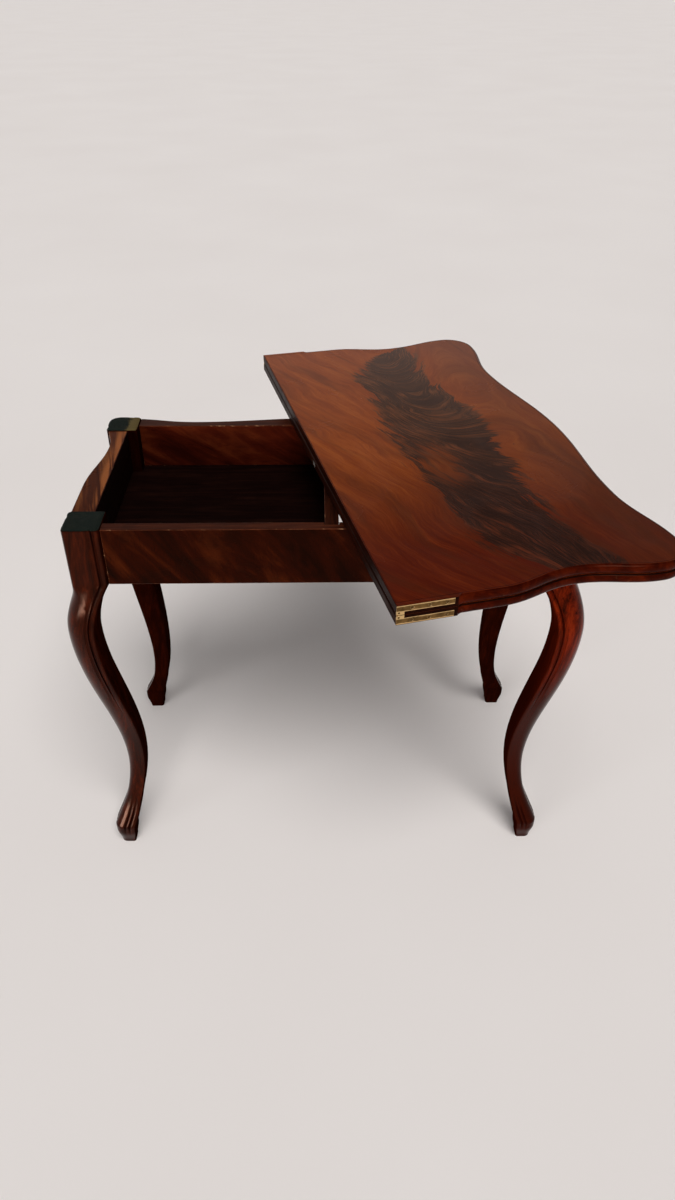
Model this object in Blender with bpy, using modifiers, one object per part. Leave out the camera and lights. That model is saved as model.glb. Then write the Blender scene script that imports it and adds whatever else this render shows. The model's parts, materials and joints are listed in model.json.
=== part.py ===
"""A fold-over games table with a swivelling serpentine top on four cabriole legs.

Units are metres, +Z is up and the floor is z = 0. The straight back of the frame faces -Y and
its serpentine front faces +Y. The folded top stands turned most of a quarter turn on its pivot.
"""
import math
from collections import namedtuple

import bmesh
import bpy
from mathutils import Matrix, Vector
from mathutils.geometry import interpolate_bezier

for old_object in list(bpy.data.objects):
    bpy.data.objects.remove(old_object, do_unlink=True)

# Clearances
SEAT_GAP = 0.0003
JOINT_GAP = 0.0003
LEAF_GAP = 0.0004

# Overall sizes
TABLE_HEIGHT = 0.740
FRAME_LENGTH = 0.790
FRAME_DEPTH = 0.401
TOP_LENGTH = 0.890
LEAF_DEPTH = 0.437
LEAF_THICKNESS = 0.015
BACK_OVERHANG = 0.003

# Plan curves of the frame, measured from its back face and its middle
FRAME_END_STRAIGHT = 0.140
FRAME_END_DIP = 0.016
FRAME_END_DIP_AT = 0.281
FRAME_CORNER = 0.032
FRAME_FRONT_DIP = 0.0155
FRAME_FRONT_DIP_AT = 0.235

# Plan curves of the leaves, measured from the hinge edge and the middle
LEAF_END_STRAIGHT = 0.150
LEAF_END_DIP = 0.022
LEAF_END_DIP_AT = 0.262
LEAF_CORNER = 0.050
LEAF_FRONT_DIP = 0.022
LEAF_FRONT_DIP_AT = 0.250
LEAF_EDGE_ROUND = 0.0068
LEAF_ARRIS_ROUND = 0.002
CURVE_STEPS = 6
CURVE_PULL = 0.39

# Swivel: the pivot from the middle of the frame, and how far the top is turned from closed
PIVOT_X = 0.119
PIVOT_Y = -0.093
TOP_TURN = math.radians(76.28)

# Rails
RAIL_HEIGHT = 0.099
RAIL_SET_BACK = 0.004
BACK_RAIL_THICKNESS = 0.024
FRONT_RAIL_THICKNESS = 0.037
END_RAIL_THICKNESS = 0.041
TENON_LENGTH = 0.026
TENON_THICKNESS = 0.008
TENON_SHOULDER = 0.012
TENON_SET_IN = 0.010
HOUSING_DEPTH = 0.007

# Well and the rails inside the frame
CROSS_RAIL_THICKNESS = 0.0215
CROSS_RAIL_DROP = 0.001
WELL_BOTTOM_THICKNESS = 0.010
WELL_BOTTOM_LIFT = 0.008
PIVOT_RAIL_WIDTH = 0.090
PIVOT_RAIL_THICKNESS = 0.022
PIVOT_RAIL_DROP = 0.002

# Legs: square posts above, then the sweep of the section's middle and its half width
POST_WIDTH = 0.058
POST_BACK_ROUND = 0.006
POST_FRONT_ROUND = 0.022
POST_SIDE_ROUND = 0.003
KNEE_HEIGHT = 0.515
KNEE_SWEEP = 0.0268
KNEE_HALF = 0.0236
THIGH_HEIGHT = 0.420
CALF_HEIGHT = 0.200
CALF_SWEEP = -0.0128
ANKLE_HEIGHT = 0.115
ANKLE_HALF = 0.0150
TOE_HEIGHT = 0.048
TOE_SWEEP = 0.0195
TOE_HALF = 0.0192
SOLE_SWEEP = 0.0210
SOLE_HALF = 0.0145
LEG_OUTER_ROUND = 0.85
LEG_SIDE_ROUND = 0.30
LEG_INNER_ROUND = 0.35
CORNER_STEPS = 3
FOOT_STEPS = 4
SHIN_STEPS = 7
KNEE_STEPS = 6

# Felt pads
FELT_THICKNESS = 0.0015
FELT_SET_IN = 0.0006

# Pivot ironwork
BOLT_RADIUS = 0.006
BOLT_HEAD_RADIUS = 0.013
BOLT_HEAD_THICKNESS = 0.003
BOLT_END = 0.004
BUSH_WALL = 0.003
PLATE_WIDTH = 0.080
PLATE_THICKNESS = 0.003
PLATE_SCREW_SET_IN = 0.012
WASHER_RADIUS = 0.016
WASHER_THICKNESS = 0.002
NUT_WIDTH = 0.020
NUT_THICKNESS = 0.009
PEG_RADIUS = 0.007
PEG_SEAT = 0.007
PEG_REACH = 0.018

# Card-table hinges
PIN_INSET = 0.0035
PIN_RADIUS = 0.0012
STRAP_THICKNESS = 0.0018
STRAP_LENGTH = 0.079
STRAP_LOW = 0.0050
STRAP_HIGH = 0.0144
STRAP_HEAD_WIDTH = 0.011
LINK_THICKNESS = 0.0016
LINK_RADIUS = 0.0028
SQUARE_END = 0.084
SQUARE_END_FADE = 0.012
STRAP_SCREWS = 3
STRAP_SCREW_END = 0.010

# Screws
SCREW_HEAD_RADIUS = 0.0022
SCREW_SHANK_RADIUS = 0.0011
SCREW_HEAD_DEPTH = 0.0015
SCREW_LENGTH = 0.011
SCREW_TIP = 0.002

# Catch plate on the lower leaf's hinge edge
CATCH_WIDTH = 0.012
CATCH_LOW = 0.0050
CATCH_HIGH = 0.0125
CATCH_THICKNESS = 0.0012
CATCH_SCREW_SPREAD = 0.0064
CATCH_SCREW_SCALE = 0.55

ROUND_STEPS = 24
SCREW_STEPS = 12
LINK_STEPS = 8
EDGE_STEPS = 3
WELD = 0.00001
SHARP_ANGLE = math.radians(35.0)
PAST = 0.004

# Levels and places that follow from the sizes above
UNDER_TOP = TABLE_HEIGHT - 2 * LEAF_THICKNESS - LEAF_GAP
MATING_LEVEL = TABLE_HEIGHT - LEAF_THICKNESS - LEAF_GAP / 2
FRAME_TOP = UNDER_TOP - FELT_THICKNESS - 2 * SEAT_GAP
RAIL_BOTTOM = FRAME_TOP - RAIL_HEIGHT
TENON_BOTTOM = RAIL_BOTTOM + TENON_SHOULDER
TENON_TOP = FRAME_TOP - TENON_SHOULDER
HALF_LENGTH = FRAME_LENGTH / 2
HALF_DEPTH = FRAME_DEPTH / 2
HINGE_EDGE_Y = -HALF_DEPTH - BACK_OVERHANG
POST_INNER_X = HALF_LENGTH - POST_WIDTH
POST_INNER_Y = HALF_DEPTH - POST_WIDTH
BACK_INNER_Y = -HALF_DEPTH + BACK_RAIL_THICKNESS
FRONT_INNER_Y = HALF_DEPTH - FRONT_RAIL_THICKNESS
END_INNER_X = HALF_LENGTH - END_RAIL_THICKNESS
PIN_SPACING = 2 * PIN_INSET + LEAF_GAP
PIVOT_RAIL_TOP = FRAME_TOP - PIVOT_RAIL_DROP
PIVOT_RAIL_BOTTOM = PIVOT_RAIL_TOP - PIVOT_RAIL_THICKNESS


def new_collection(name):
    made = bpy.data.collections.new(name)
    bpy.context.scene.collection.children.link(made)
    return made


PARTS = new_collection("games_table")
CUTTERS = new_collection("cutters")


def new_material(name, colour, roughness, metallic=0.0):
    """Makes a plain Principled material."""
    made = bpy.data.materials.new(name)
    made.use_nodes = True
    shader = made.node_tree.nodes["Principled BSDF"]
    shader.inputs["Base Color"].default_value = (*colour, 1.0)
    shader.inputs["Roughness"].default_value = roughness
    shader.inputs["Metallic"].default_value = metallic
    return made


FRAME_WOOD = new_material("polished_mahogany", (0.060, 0.012, 0.006), 0.32)
TOP_WOOD = new_material("figured_mahogany", (0.130, 0.030, 0.010), 0.26)
INNER_WOOD = new_material("dark_inner_wood", (0.045, 0.012, 0.007), 0.60)
PEG_WOOD = new_material("pale_hardwood", (0.220, 0.110, 0.045), 0.60)
FELT = new_material("green_felt", (0.030, 0.105, 0.075), 0.95)
BRASS = new_material("aged_brass", (0.330, 0.210, 0.070), 0.38, 1.0)
IRON = new_material("dark_iron", (0.060, 0.055, 0.050), 0.55, 1.0)
STEEL = new_material("grey_steel", (0.420, 0.410, 0.390), 0.40, 1.0)


def place(name, mesh, collection, location, parent):
    """Adds an object to a collection under a parent."""
    made = bpy.data.objects.new(name, mesh)
    made.location = location
    made.parent = parent
    collection.objects.link(made)
    return made


def add_part(name, mesh, material, parent, location=(0.0, 0.0, 0.0)):
    made = place(name, mesh, PARTS, location, parent)
    mesh.materials.append(material)
    return made


def add_cutter(name, mesh, parent, location=(0.0, 0.0, 0.0)):
    made = place(name, mesh, CUTTERS, location, parent)
    made.hide_render = True
    made.display_type = "WIRE"
    return made


def add_axis(name, parent, location):
    """Adds an empty that marks an axis and carries the pieces that turn on it."""
    return place(name, None, PARTS, location, parent)


def combine(piece, tools, operation="DIFFERENCE"):
    """Cuts tools out of a piece, or joins them to it."""
    for tool in tools:
        boolean = piece.modifiers.new(tool.name, "BOOLEAN")
        boolean.operation = operation
        boolean.object = tool


def to_mesh(shape, name):
    """Turns an edited shape into a mesh with its faces pointing out."""
    bmesh.ops.recalc_face_normals(shape, faces=shape.faces)
    if shape.calc_volume(signed=True) < 0.0:
        bmesh.ops.reverse_faces(shape, faces=shape.faces)
    mesh = bpy.data.meshes.new(name)
    shape.to_mesh(mesh)
    shape.free()
    return mesh


def box_mesh(name, low, high):
    """Makes a box between two opposite corners."""
    low = Vector(low)
    high = Vector(high)
    stretch = Matrix.Diagonal((*(high - low), 1.0))
    shape = bmesh.new()
    bmesh.ops.create_cube(shape, size=1.0, matrix=Matrix.Translation((low + high) / 2) @ stretch)
    return to_mesh(shape, name)


def rod_mesh(name, radius, low, high, turn=Matrix.Identity(4), steps=ROUND_STEPS):
    """Makes a round rod along its own Z axis, then turns it."""
    shape = bmesh.new()
    bmesh.ops.create_cone(
        shape, cap_ends=True, segments=steps, radius1=radius, radius2=radius, depth=high - low,
        matrix=turn @ Matrix.Translation((0.0, 0.0, (low + high) / 2)))
    return to_mesh(shape, name)


def loft_mesh(name, rings):
    """Joins rings of as many points each, and closes both ends."""
    shape = bmesh.new()
    loops = [[shape.verts.new(point) for point in ring] for ring in rings]
    count = len(rings[0])
    for lower, upper in zip(loops, loops[1:]):
        for here in range(count):
            after = (here + 1) % count
            shape.faces.new((lower[here], lower[after], upper[after], upper[here]))
    shape.faces.new(reversed(loops[0]))
    shape.faces.new(loops[-1])
    return to_mesh(shape, name)


def flat_mesh(name, outline, thickness):
    """Fills a flat outline to a plate, centred on its own plane."""
    curve = bpy.data.curves.new(name, "CURVE")
    curve.dimensions = "2D"
    curve.fill_mode = "BOTH"
    curve.extrude = thickness / 2
    spline = curve.splines.new("POLY")
    spline.points.add(len(outline) - 1)
    spline.use_cyclic_u = True
    for point, (x, y) in zip(spline.points, outline):
        point.co = (x, y, 0.0, 1.0)
    guide = bpy.data.objects.new(name, curve)
    bpy.context.scene.collection.objects.link(guide)
    evaluated = guide.evaluated_get(bpy.context.evaluated_depsgraph_get())
    shape = bmesh.new()
    shape.from_mesh(bpy.data.meshes.new_from_object(evaluated))
    bmesh.ops.remove_doubles(shape, verts=shape.verts, dist=WELD)
    bpy.data.objects.remove(guide, do_unlink=True)
    return to_mesh(shape, name)


def profile_mesh(name, points, closed=False):
    """Makes the open or closed profile of a turned piece, in the XZ plane."""
    edges = [(here, here + 1) for here in range(len(points) - 1)]
    if closed:
        edges.append((len(points) - 1, 0))
    mesh = bpy.data.meshes.new(name)
    mesh.from_pydata([(x, 0.0, z) for x, z in points], edges, [])
    return mesh


def turn_profile(piece, steps):
    """Turns a piece's profile about its Z axis."""
    screw = piece.modifiers.new("turn", "SCREW")
    screw.steps = steps
    screw.render_steps = steps
    screw.use_merge_vertices = True
    screw.merge_threshold = WELD
    return piece


def serpentine(half_length, depth, straight, end_dip, end_dip_at, corner, front_dip, front_dip_at):
    """Gives the right half of a serpentine outline, from the end's straight to the front's middle."""
    knots = [
        ((half_length, straight), (0.0, 1.0)),
        ((half_length - end_dip, end_dip_at), (0.0, 1.0)),
        ((half_length, depth - corner), (0.0, 1.0)),
        ((half_length - corner, depth), (-1.0, 0.0)),
        ((front_dip_at, depth - front_dip), (-1.0, 0.0)),
        ((0.0, depth), (-1.0, 0.0)),
    ]
    points = []
    for (start, leave), (end, arrive) in zip(knots, knots[1:]):
        start = Vector(start)
        end = Vector(end)
        reach = CURVE_PULL * (end - start).length
        handle_out = start + reach * Vector(leave)
        handle_in = end - reach * Vector(arrive)
        points += interpolate_bezier(start, handle_out, handle_in, end, CURVE_STEPS + 1)[:-1]
    return [(point.x, point.y) for point in points] + [(0.0, depth)]


def mirrored(half):
    """Adds the left half to the right half of an outline that ends on the middle line."""
    return half + [(-x, y) for x, y in reversed(half[:-1])]


FRAME_CURVE = [
    (x, y - HALF_DEPTH) for x, y in mirrored(serpentine(
        HALF_LENGTH, FRAME_DEPTH, FRAME_END_STRAIGHT, FRAME_END_DIP, FRAME_END_DIP_AT,
        FRAME_CORNER, FRAME_FRONT_DIP, FRAME_FRONT_DIP_AT))]
LEAF_HALF = [(TOP_LENGTH / 2, 0.0), (TOP_LENGTH / 2, SQUARE_END),
             (TOP_LENGTH / 2, SQUARE_END + SQUARE_END_FADE)] + serpentine(
    TOP_LENGTH / 2, LEAF_DEPTH, LEAF_END_STRAIGHT, LEAF_END_DIP, LEAF_END_DIP_AT,
    LEAF_CORNER, LEAF_FRONT_DIP, LEAF_FRONT_DIP_AT)
LEAF_CURVE = mirrored(LEAF_HALF)


def curve_between(points, axis, low, high):
    """Keeps the stretch of a run of points between two limits along X or Y, cut at the limits."""
    kept = []
    for start, end in zip(points, points[1:]):
        for limit in (low, high):
            if (start[axis] - limit) * (end[axis] - limit) < 0.0:
                share = (limit - start[axis]) / (end[axis] - start[axis])
                kept.append(tuple(a + share * (b - a) for a, b in zip(start, end)))
        if low <= end[axis] <= high:
            kept.append(end)
    return kept


FRONT_CURVE = [(x, y) for x, y in FRAME_CURVE if y > HALF_DEPTH - 2 * FRAME_FRONT_DIP]
END_CURVE = [(HALF_LENGTH, -HALF_DEPTH)] + [(x, y) for x, y in FRAME_CURVE if x > POST_INNER_X]


def turned_corner(x, y):
    """Takes a point of the closed top, from the pivot, to where it is with the top turned."""
    return (PIVOT_X + x * math.cos(TOP_TURN) + y * math.sin(TOP_TURN),
            PIVOT_Y - x * math.sin(TOP_TURN) + y * math.cos(TOP_TURN))


def footprint_middle():
    """Gives the middle of the plan box round the legs and the turned top."""
    knee = POST_WIDTH / 2 - KNEE_SWEEP - KNEE_HALF
    places = [turned_corner(x - PIVOT_X, HINGE_EDGE_Y + y - PIVOT_Y) for x, y in LEAF_CURVE]
    places += [(-HALF_LENGTH + knee, -HALF_DEPTH + knee), (HALF_LENGTH - knee, HALF_DEPTH - knee)]
    xs = [x for x, y in places]
    ys = [y for x, y in places]
    return (min(xs) + max(xs)) / 2, (min(ys) + max(ys)) / 2


MIDDLE_X, MIDDLE_Y = footprint_middle()

table = add_axis("table", None, (-MIDDLE_X, -MIDDLE_Y, 0.0))
swivel_axis = add_axis("swivel_axis", table, (PIVOT_X, PIVOT_Y, 0.0))
swivel_axis.rotation_euler.z = -TOP_TURN

Leaf = namedtuple("Leaf", "name parent origin sign")
lower_pin = Vector((-PIVOT_X, HINGE_EDGE_Y - PIVOT_Y + PIN_INSET, MATING_LEVEL - PIN_SPACING / 2))
link_axis = add_axis("link_axis", swivel_axis, lower_pin)
fold_axis = add_axis("fold_axis", link_axis, (0.0, 0.0, PIN_SPACING))
LOWER = Leaf("lower", swivel_axis, lower_pin + Vector((0.0, -PIN_INSET, PIN_INSET)), -1)
UPPER = Leaf("upper", fold_axis, Vector((0.0, -PIN_INSET, -PIN_INSET)), 1)


# Legs

def ease(share):
    return share * share * (3.0 - 2.0 * share)


def slow_end(share):
    return 1.0 - (1.0 - share) ** 2


def slow_start(share):
    return share ** 2


def station(stops, height):
    """Reads a run of (height, value, easing into it) stops at a height, and keeps the last value above."""
    for (low, start, _), (high, end, easing) in zip(stops, stops[1:]):
        if height <= high:
            return start + (end - start) * easing((height - low) / (high - low))
    return stops[-1][1]


SWEEPS = [(0.0, SOLE_SWEEP, ease), (TOE_HEIGHT, TOE_SWEEP, ease), (CALF_HEIGHT, CALF_SWEEP, slow_end),
          (KNEE_HEIGHT, KNEE_SWEEP, ease)]
HALVES = [(0.0, SOLE_HALF, ease), (TOE_HEIGHT, TOE_HALF, slow_end), (ANKLE_HEIGHT, ANKLE_HALF, ease),
          (THIGH_HEIGHT, KNEE_HALF, ease)]


def post_corners(front):
    """Gives the four corners of the right-hand post: outer, end side, inner, rail side."""
    end_x = HALF_LENGTH
    front_y = HALF_DEPTH
    if front:
        end_x = curve_between(END_CURVE, 1, POST_INNER_Y, HALF_DEPTH)[0][0]
        front_y = curve_between(FRONT_CURVE, 0, POST_INNER_X, HALF_LENGTH)[-1][1]
    return [(HALF_LENGTH, HALF_DEPTH), (end_x, POST_INNER_Y), (POST_INNER_X, POST_INNER_Y),
            (POST_INNER_X, front_y)]


def rounded_ring(corners, radii):
    """Rounds the corners of a four-sided section."""
    ring = []
    for here, corner in enumerate(corners):
        corner = Vector(corner)
        before = (Vector(corners[here - 1]) - corner).normalized()
        after = (Vector(corners[(here + 1) % 4]) - corner).normalized()
        for step in range(CORNER_STEPS + 1):
            angle = math.pi / 2 * step / CORNER_STEPS
            ring.append(corner + radii[here] * (
                (1.0 - math.sin(angle)) * before + (1.0 - math.cos(angle)) * after))
    return ring


def leg_ring(height, front):
    """Gives a right-hand leg's section at a height, as if it stood at the front."""
    sweep = station(SWEEPS, height)
    half = station(HALVES, height)
    above_knee = (height - KNEE_HEIGHT) / (RAIL_BOTTOM - KNEE_HEIGHT)
    blend = slow_start(min(1.0, max(0.0, above_knee)))
    middle_x = HALF_LENGTH - POST_WIDTH / 2 + sweep
    middle_y = HALF_DEPTH - POST_WIDTH / 2 + sweep
    square = [(middle_x + half, middle_y + half), (middle_x + half, middle_y - half),
              (middle_x - half, middle_y - half), (middle_x - half, middle_y + half)]
    corners = [tuple(a + blend * (b - a) for a, b in zip(low, high))
               for low, high in zip(square, post_corners(front))]
    post_round = POST_FRONT_ROUND if front else POST_BACK_ROUND
    swept = [LEG_OUTER_ROUND * half, LEG_SIDE_ROUND * half, LEG_INNER_ROUND * half, LEG_SIDE_ROUND * half]
    post = [post_round, POST_SIDE_ROUND, POST_SIDE_ROUND, POST_SIDE_ROUND]
    radii = [a + blend * (b - a) for a, b in zip(swept, post)]
    return rounded_ring(corners, radii)


def leg_heights():
    """Gives the levels of a leg's sections: close at the foot and knee, wide along the shin."""
    stops = [0.0, TOE_HEIGHT, ANKLE_HEIGHT, CALF_HEIGHT, KNEE_HEIGHT, RAIL_BOTTOM]
    steps = [FOOT_STEPS, FOOT_STEPS, FOOT_STEPS, SHIN_STEPS, KNEE_STEPS]
    heights = [low + (high - low) * step / count
               for low, high, count in zip(stops, stops[1:], steps) for step in range(count)]
    return heights + [RAIL_BOTTOM, FRAME_TOP]


def grown(low, high, spread):
    """Grows a box on all sides."""
    return tuple(value - spread for value in low), tuple(value + spread for value in high)


def tenon_boxes(spread):
    """Gives the two corners of each tenon, grown on all sides by a spread, by rail and end."""
    back = -HALF_DEPTH + TENON_SET_IN
    front = HALF_DEPTH - TENON_SET_IN - TENON_THICKNESS
    end = HALF_LENGTH - TENON_SET_IN - TENON_THICKNESS
    boxes = {}
    for side, right in (("right", 1), ("left", -1)):
        for rail, y in (("back_rail", back), ("front_rail", front)):
            xs = sorted(right * (POST_INNER_X + reach) for reach in (-TENON_LENGTH / 2, TENON_LENGTH))
            boxes[rail, side] = (xs[0], y, TENON_BOTTOM), (xs[1], y + TENON_THICKNESS, TENON_TOP)
        for row, forward in (("front", 1), ("back", -1)):
            xs = sorted((right * end, right * (end + TENON_THICKNESS)))
            ys = sorted(forward * (POST_INNER_Y + reach) for reach in (-TENON_LENGTH / 2, TENON_LENGTH))
            boxes[side + "_rail", row] = (xs[0], ys[0], TENON_BOTTOM), (xs[1], ys[1], TENON_TOP)
    return {key: grown(*corners, spread) for key, corners in boxes.items()}


def make_legs():
    mortises = tenon_boxes(JOINT_GAP)
    for row, forward in (("back", -1), ("front", 1)):
        for side, right in (("left", -1), ("right", 1)):
            name = "leg_%s_%s" % (row, side)
            rings = []
            for height in leg_heights():
                ring = leg_ring(height, forward > 0)
                rings.append([(right * point.x, forward * point.y, height) for point in ring])
            leg = add_part(name, loft_mesh(name, rings), FRAME_WOOD, table)
            tools = [add_cutter("mortise_%s_%s" % key, box_mesh("mortise", *mortises[key]), table)
                     for key in ((row + "_rail", side), (side + "_rail", row))]
            combine(leg, tools)


def make_felt_pads():
    """Lays a pad of felt on each post, for the top to slide on."""
    for row, forward in (("back", -1), ("front", 1)):
        for side, right in (("left", -1), ("right", 1)):
            name = "felt_pad_%s_%s" % (row, side)
            ring = leg_ring(FRAME_TOP, forward > 0)
            middle = sum(ring, Vector((0.0, 0.0))) / len(ring)
            shrink = 1.0 - 2.0 * FELT_SET_IN / POST_WIDTH
            low = FRAME_TOP + SEAT_GAP
            rings = []
            for height in (low, low + FELT_THICKNESS):
                inset = [middle + shrink * (point - middle) for point in ring]
                rings.append([(right * point.x, forward * point.y, height) for point in inset])
            add_part(name, loft_mesh(name, rings), FELT, table)


# Rails and the well

def add_rail(name, outline, tenon_keys, tools):
    """Makes a rail from its plan outline, joins its tenons and cuts its housings."""
    mesh = flat_mesh(name, outline, RAIL_HEIGHT)
    mesh.transform(Matrix.Translation((0.0, 0.0, (RAIL_BOTTOM + FRAME_TOP) / 2)))
    rail = add_part(name, mesh, FRAME_WOOD, table)
    boxes = tenon_boxes(0.0)
    tenons = [add_cutter("tenon_%s_%s" % key, box_mesh("tenon", *boxes[key]), table) for key in tenon_keys]
    combine(rail, tenons, "UNION")
    combine(rail, tools)


def make_frame():
    cross = ((0.0, BACK_INNER_Y - HOUSING_DEPTH, RAIL_BOTTOM),
             (CROSS_RAIL_THICKNESS, FRONT_INNER_Y + HOUSING_DEPTH, FRAME_TOP - CROSS_RAIL_DROP))
    pivot_half = PIVOT_RAIL_WIDTH / 2
    pivot = ((PIVOT_X - pivot_half, BACK_INNER_Y - HOUSING_DEPTH, PIVOT_RAIL_BOTTOM),
             (PIVOT_X + pivot_half, FRONT_INNER_Y + HOUSING_DEPTH, PIVOT_RAIL_TOP))
    bottom_low = RAIL_BOTTOM + WELL_BOTTOM_LIFT
    bottom = ((-END_INNER_X - HOUSING_DEPTH, BACK_INNER_Y - HOUSING_DEPTH, bottom_low),
              (HOUSING_DEPTH, FRONT_INNER_Y + HOUSING_DEPTH, bottom_low + WELL_BOTTOM_THICKNESS))

    groove = add_cutter("well_groove", box_mesh("well_groove", *grown(*bottom, JOINT_GAP)), table)
    housing_low, housing_high = grown(*cross, JOINT_GAP)
    cross_housing = add_cutter("cross_housing", box_mesh("cross_housing", (
        housing_low[0], housing_low[1], housing_low[2] - PAST), (
        housing_high[0], housing_high[1], FRAME_TOP + PAST)), table)
    housing_low, housing_high = grown(*pivot, JOINT_GAP)
    pivot_housing = add_cutter("pivot_housing", box_mesh("pivot_housing", housing_low, (
        housing_high[0], housing_high[1], FRAME_TOP + PAST)), table)
    housings = [cross_housing, pivot_housing, groove]

    shoulder_x = POST_INNER_X - SEAT_GAP
    shoulder_y = POST_INNER_Y - SEAT_GAP
    back_y = -HALF_DEPTH + RAIL_SET_BACK
    back = [(-shoulder_x, back_y), (shoulder_x, back_y),
            (shoulder_x, BACK_INNER_Y), (-shoulder_x, BACK_INNER_Y)]
    add_rail("back_rail", back, [("back_rail", "left"), ("back_rail", "right")], housings)
    front = [(x, y - RAIL_SET_BACK) for x, y in curve_between(FRONT_CURVE, 0, -shoulder_x, shoulder_x)]
    add_rail("front_rail", front + [(-shoulder_x, FRONT_INNER_Y), (shoulder_x, FRONT_INNER_Y)],
             [("front_rail", "left"), ("front_rail", "right")], housings)
    end = [(x - RAIL_SET_BACK, y) for x, y in curve_between(END_CURVE, 1, -shoulder_y, shoulder_y)]
    end += [(END_INNER_X, shoulder_y), (END_INNER_X, -shoulder_y)]
    add_rail("right_rail", end, [("right_rail", "back"), ("right_rail", "front")], [])
    add_rail("left_rail", [(-x, y) for x, y in reversed(end)],
             [("left_rail", "back"), ("left_rail", "front")], [groove])

    cross_rail = add_part("cross_rail", box_mesh("cross_rail", *cross), INNER_WOOD, table)
    combine(cross_rail, [groove])
    well_bottom = add_part("well_bottom", box_mesh("well_bottom", *bottom), INNER_WOOD, table)
    notches = []
    for row, forward in (("back", -1), ("front", 1)):
        ys = sorted((forward * (POST_INNER_Y - JOINT_GAP), forward * (HALF_DEPTH + PAST)))
        notches.append(add_cutter("post_notch_" + row, box_mesh(
            "post_notch", (-HALF_LENGTH - PAST, ys[0], bottom_low - PAST),
            (-POST_INNER_X + JOINT_GAP, ys[1], bottom_low + WELL_BOTTOM_THICKNESS + PAST)), table))
    combine(well_bottom, notches)

    pivot_rail = add_part("pivot_rail", box_mesh("pivot_rail", *pivot), INNER_WOOD, table)
    bush_hole = add_cutter("bush_hole", rod_mesh(
        "bush_hole", BOLT_RADIUS + JOINT_GAP + BUSH_WALL + JOINT_GAP, PIVOT_RAIL_BOTTOM - PAST,
        PIVOT_RAIL_TOP + PAST), table, (PIVOT_X, PIVOT_Y, 0.0))
    combine(pivot_rail, [bush_hole])


# Screws

def screw_profile(spread, scale=1.0):
    """Gives a countersunk screw's profile from its head down, grown by a spread."""
    head = SCREW_HEAD_RADIUS * scale + spread
    shank = SCREW_SHANK_RADIUS * scale + spread
    depth = SCREW_HEAD_DEPTH * scale
    length = SCREW_LENGTH * scale + spread
    lift = PAST if spread else 0.0
    rim = [(head, lift), (head, 0.0)] if spread else [(head, 0.0)]
    point = [(shank, -depth - spread), (shank, -length + SCREW_TIP * scale), (0.0, -length)]
    return [(0.0, lift)] + rim + point


def add_screw(name, material, parent, location, turn, scale=1.0):
    """Adds a screw with its head outward, and gives the cutter of its hole."""
    screw = add_part(name, profile_mesh(name, screw_profile(0.0, scale)), material, parent, location)
    screw.rotation_euler = turn
    turn_profile(screw, SCREW_STEPS)
    hole_mesh = profile_mesh("hole", screw_profile(SEAT_GAP, scale))
    hole = add_cutter("hole_" + name, hole_mesh, parent, location)
    hole.rotation_euler = turn
    turn_profile(hole, SCREW_STEPS)
    return hole


# Leaves

def leaf_rings(sign):
    """Gives a leaf's sections from its mating face outwards, with its edges rounded."""
    count = len(LEAF_CURVE)
    rings = []
    for face in (0, 1):
        for step in range(EDGE_STEPS + 1):
            angle = math.pi / 2 * (step if face == 0 else EDGE_STEPS - step) / EDGE_STEPS
            ring = []
            for here, (x, y) in enumerate(LEAF_CURVE):
                at_hinge = here in (0, count - 1)
                at_strap = here in (1, count - 2)
                radius = LEAF_EDGE_ROUND
                if at_hinge:
                    radius = PIN_INSET if face == 0 else LEAF_ARRIS_ROUND
                inset = radius * (1.0 - math.sin(angle))
                rise = radius * (1.0 - math.cos(angle))
                before = Vector(LEAF_CURVE[here - 1])
                after = Vector(LEAF_CURVE[(here + 1) % count])
                inward = (after - before).normalized().orthogonal()
                if at_hinge:
                    inward = Vector((0.0, 1.0))
                if at_strap:
                    inward = Vector((0.0, 0.0))
                place_on_ring = Vector((x, y)) + inset * inward
                level = rise if face == 0 else LEAF_THICKNESS - rise
                ring.append((place_on_ring.x, place_on_ring.y, sign * level))
            rings.append(ring)
    return rings


def end_box(side, sign, inward, along, outward):
    """Gives the corners of a box at a leaf's end: depth in, along the end, out of the mating face."""
    xs = sorted(side * (TOP_LENGTH / 2 - depth) for depth in inward)
    zs = sorted(sign * level for level in outward)
    return (xs[0], along[0], zs[0]), (xs[1], along[1], zs[1])


def end_plate(name, outline, thickness, side, sign, depth):
    """Stands a flat plate in a leaf's end, its outline drawn along the end and out of the mating face."""
    mesh = flat_mesh(name, outline, thickness)
    stand = Matrix(((0.0, 0.0, sign), (1.0, 0.0, 0.0), (0.0, sign, 0.0))).to_4x4()
    across = side * (TOP_LENGTH / 2 - depth - thickness / 2)
    mesh.transform(Matrix.Translation((across, 0.0, 0.0)) @ stand)
    return mesh


def arc(middle, radius, start, end, steps):
    """Gives points on an arc, with its angles in degrees."""
    points = []
    for step in range(steps + 1):
        angle = math.radians(start + (end - start) * step / steps)
        points.append((middle[0] + radius * math.cos(angle), middle[1] + radius * math.sin(angle)))
    return points


def strap_outline():
    """Gives the hinge strap: a head that rolls about its pin, and a bar along the leaf's end."""
    eye = PIN_INSET - SEAT_GAP
    return arc((PIN_INSET, PIN_INSET), eye, 270.0, 180.0, 2 * EDGE_STEPS) + [
        (SEAT_GAP, STRAP_HIGH), (STRAP_LENGTH, STRAP_HIGH), (STRAP_LENGTH, STRAP_LOW),
        (STRAP_HEAD_WIDTH, STRAP_LOW), (STRAP_HEAD_WIDTH, SEAT_GAP)]


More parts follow.
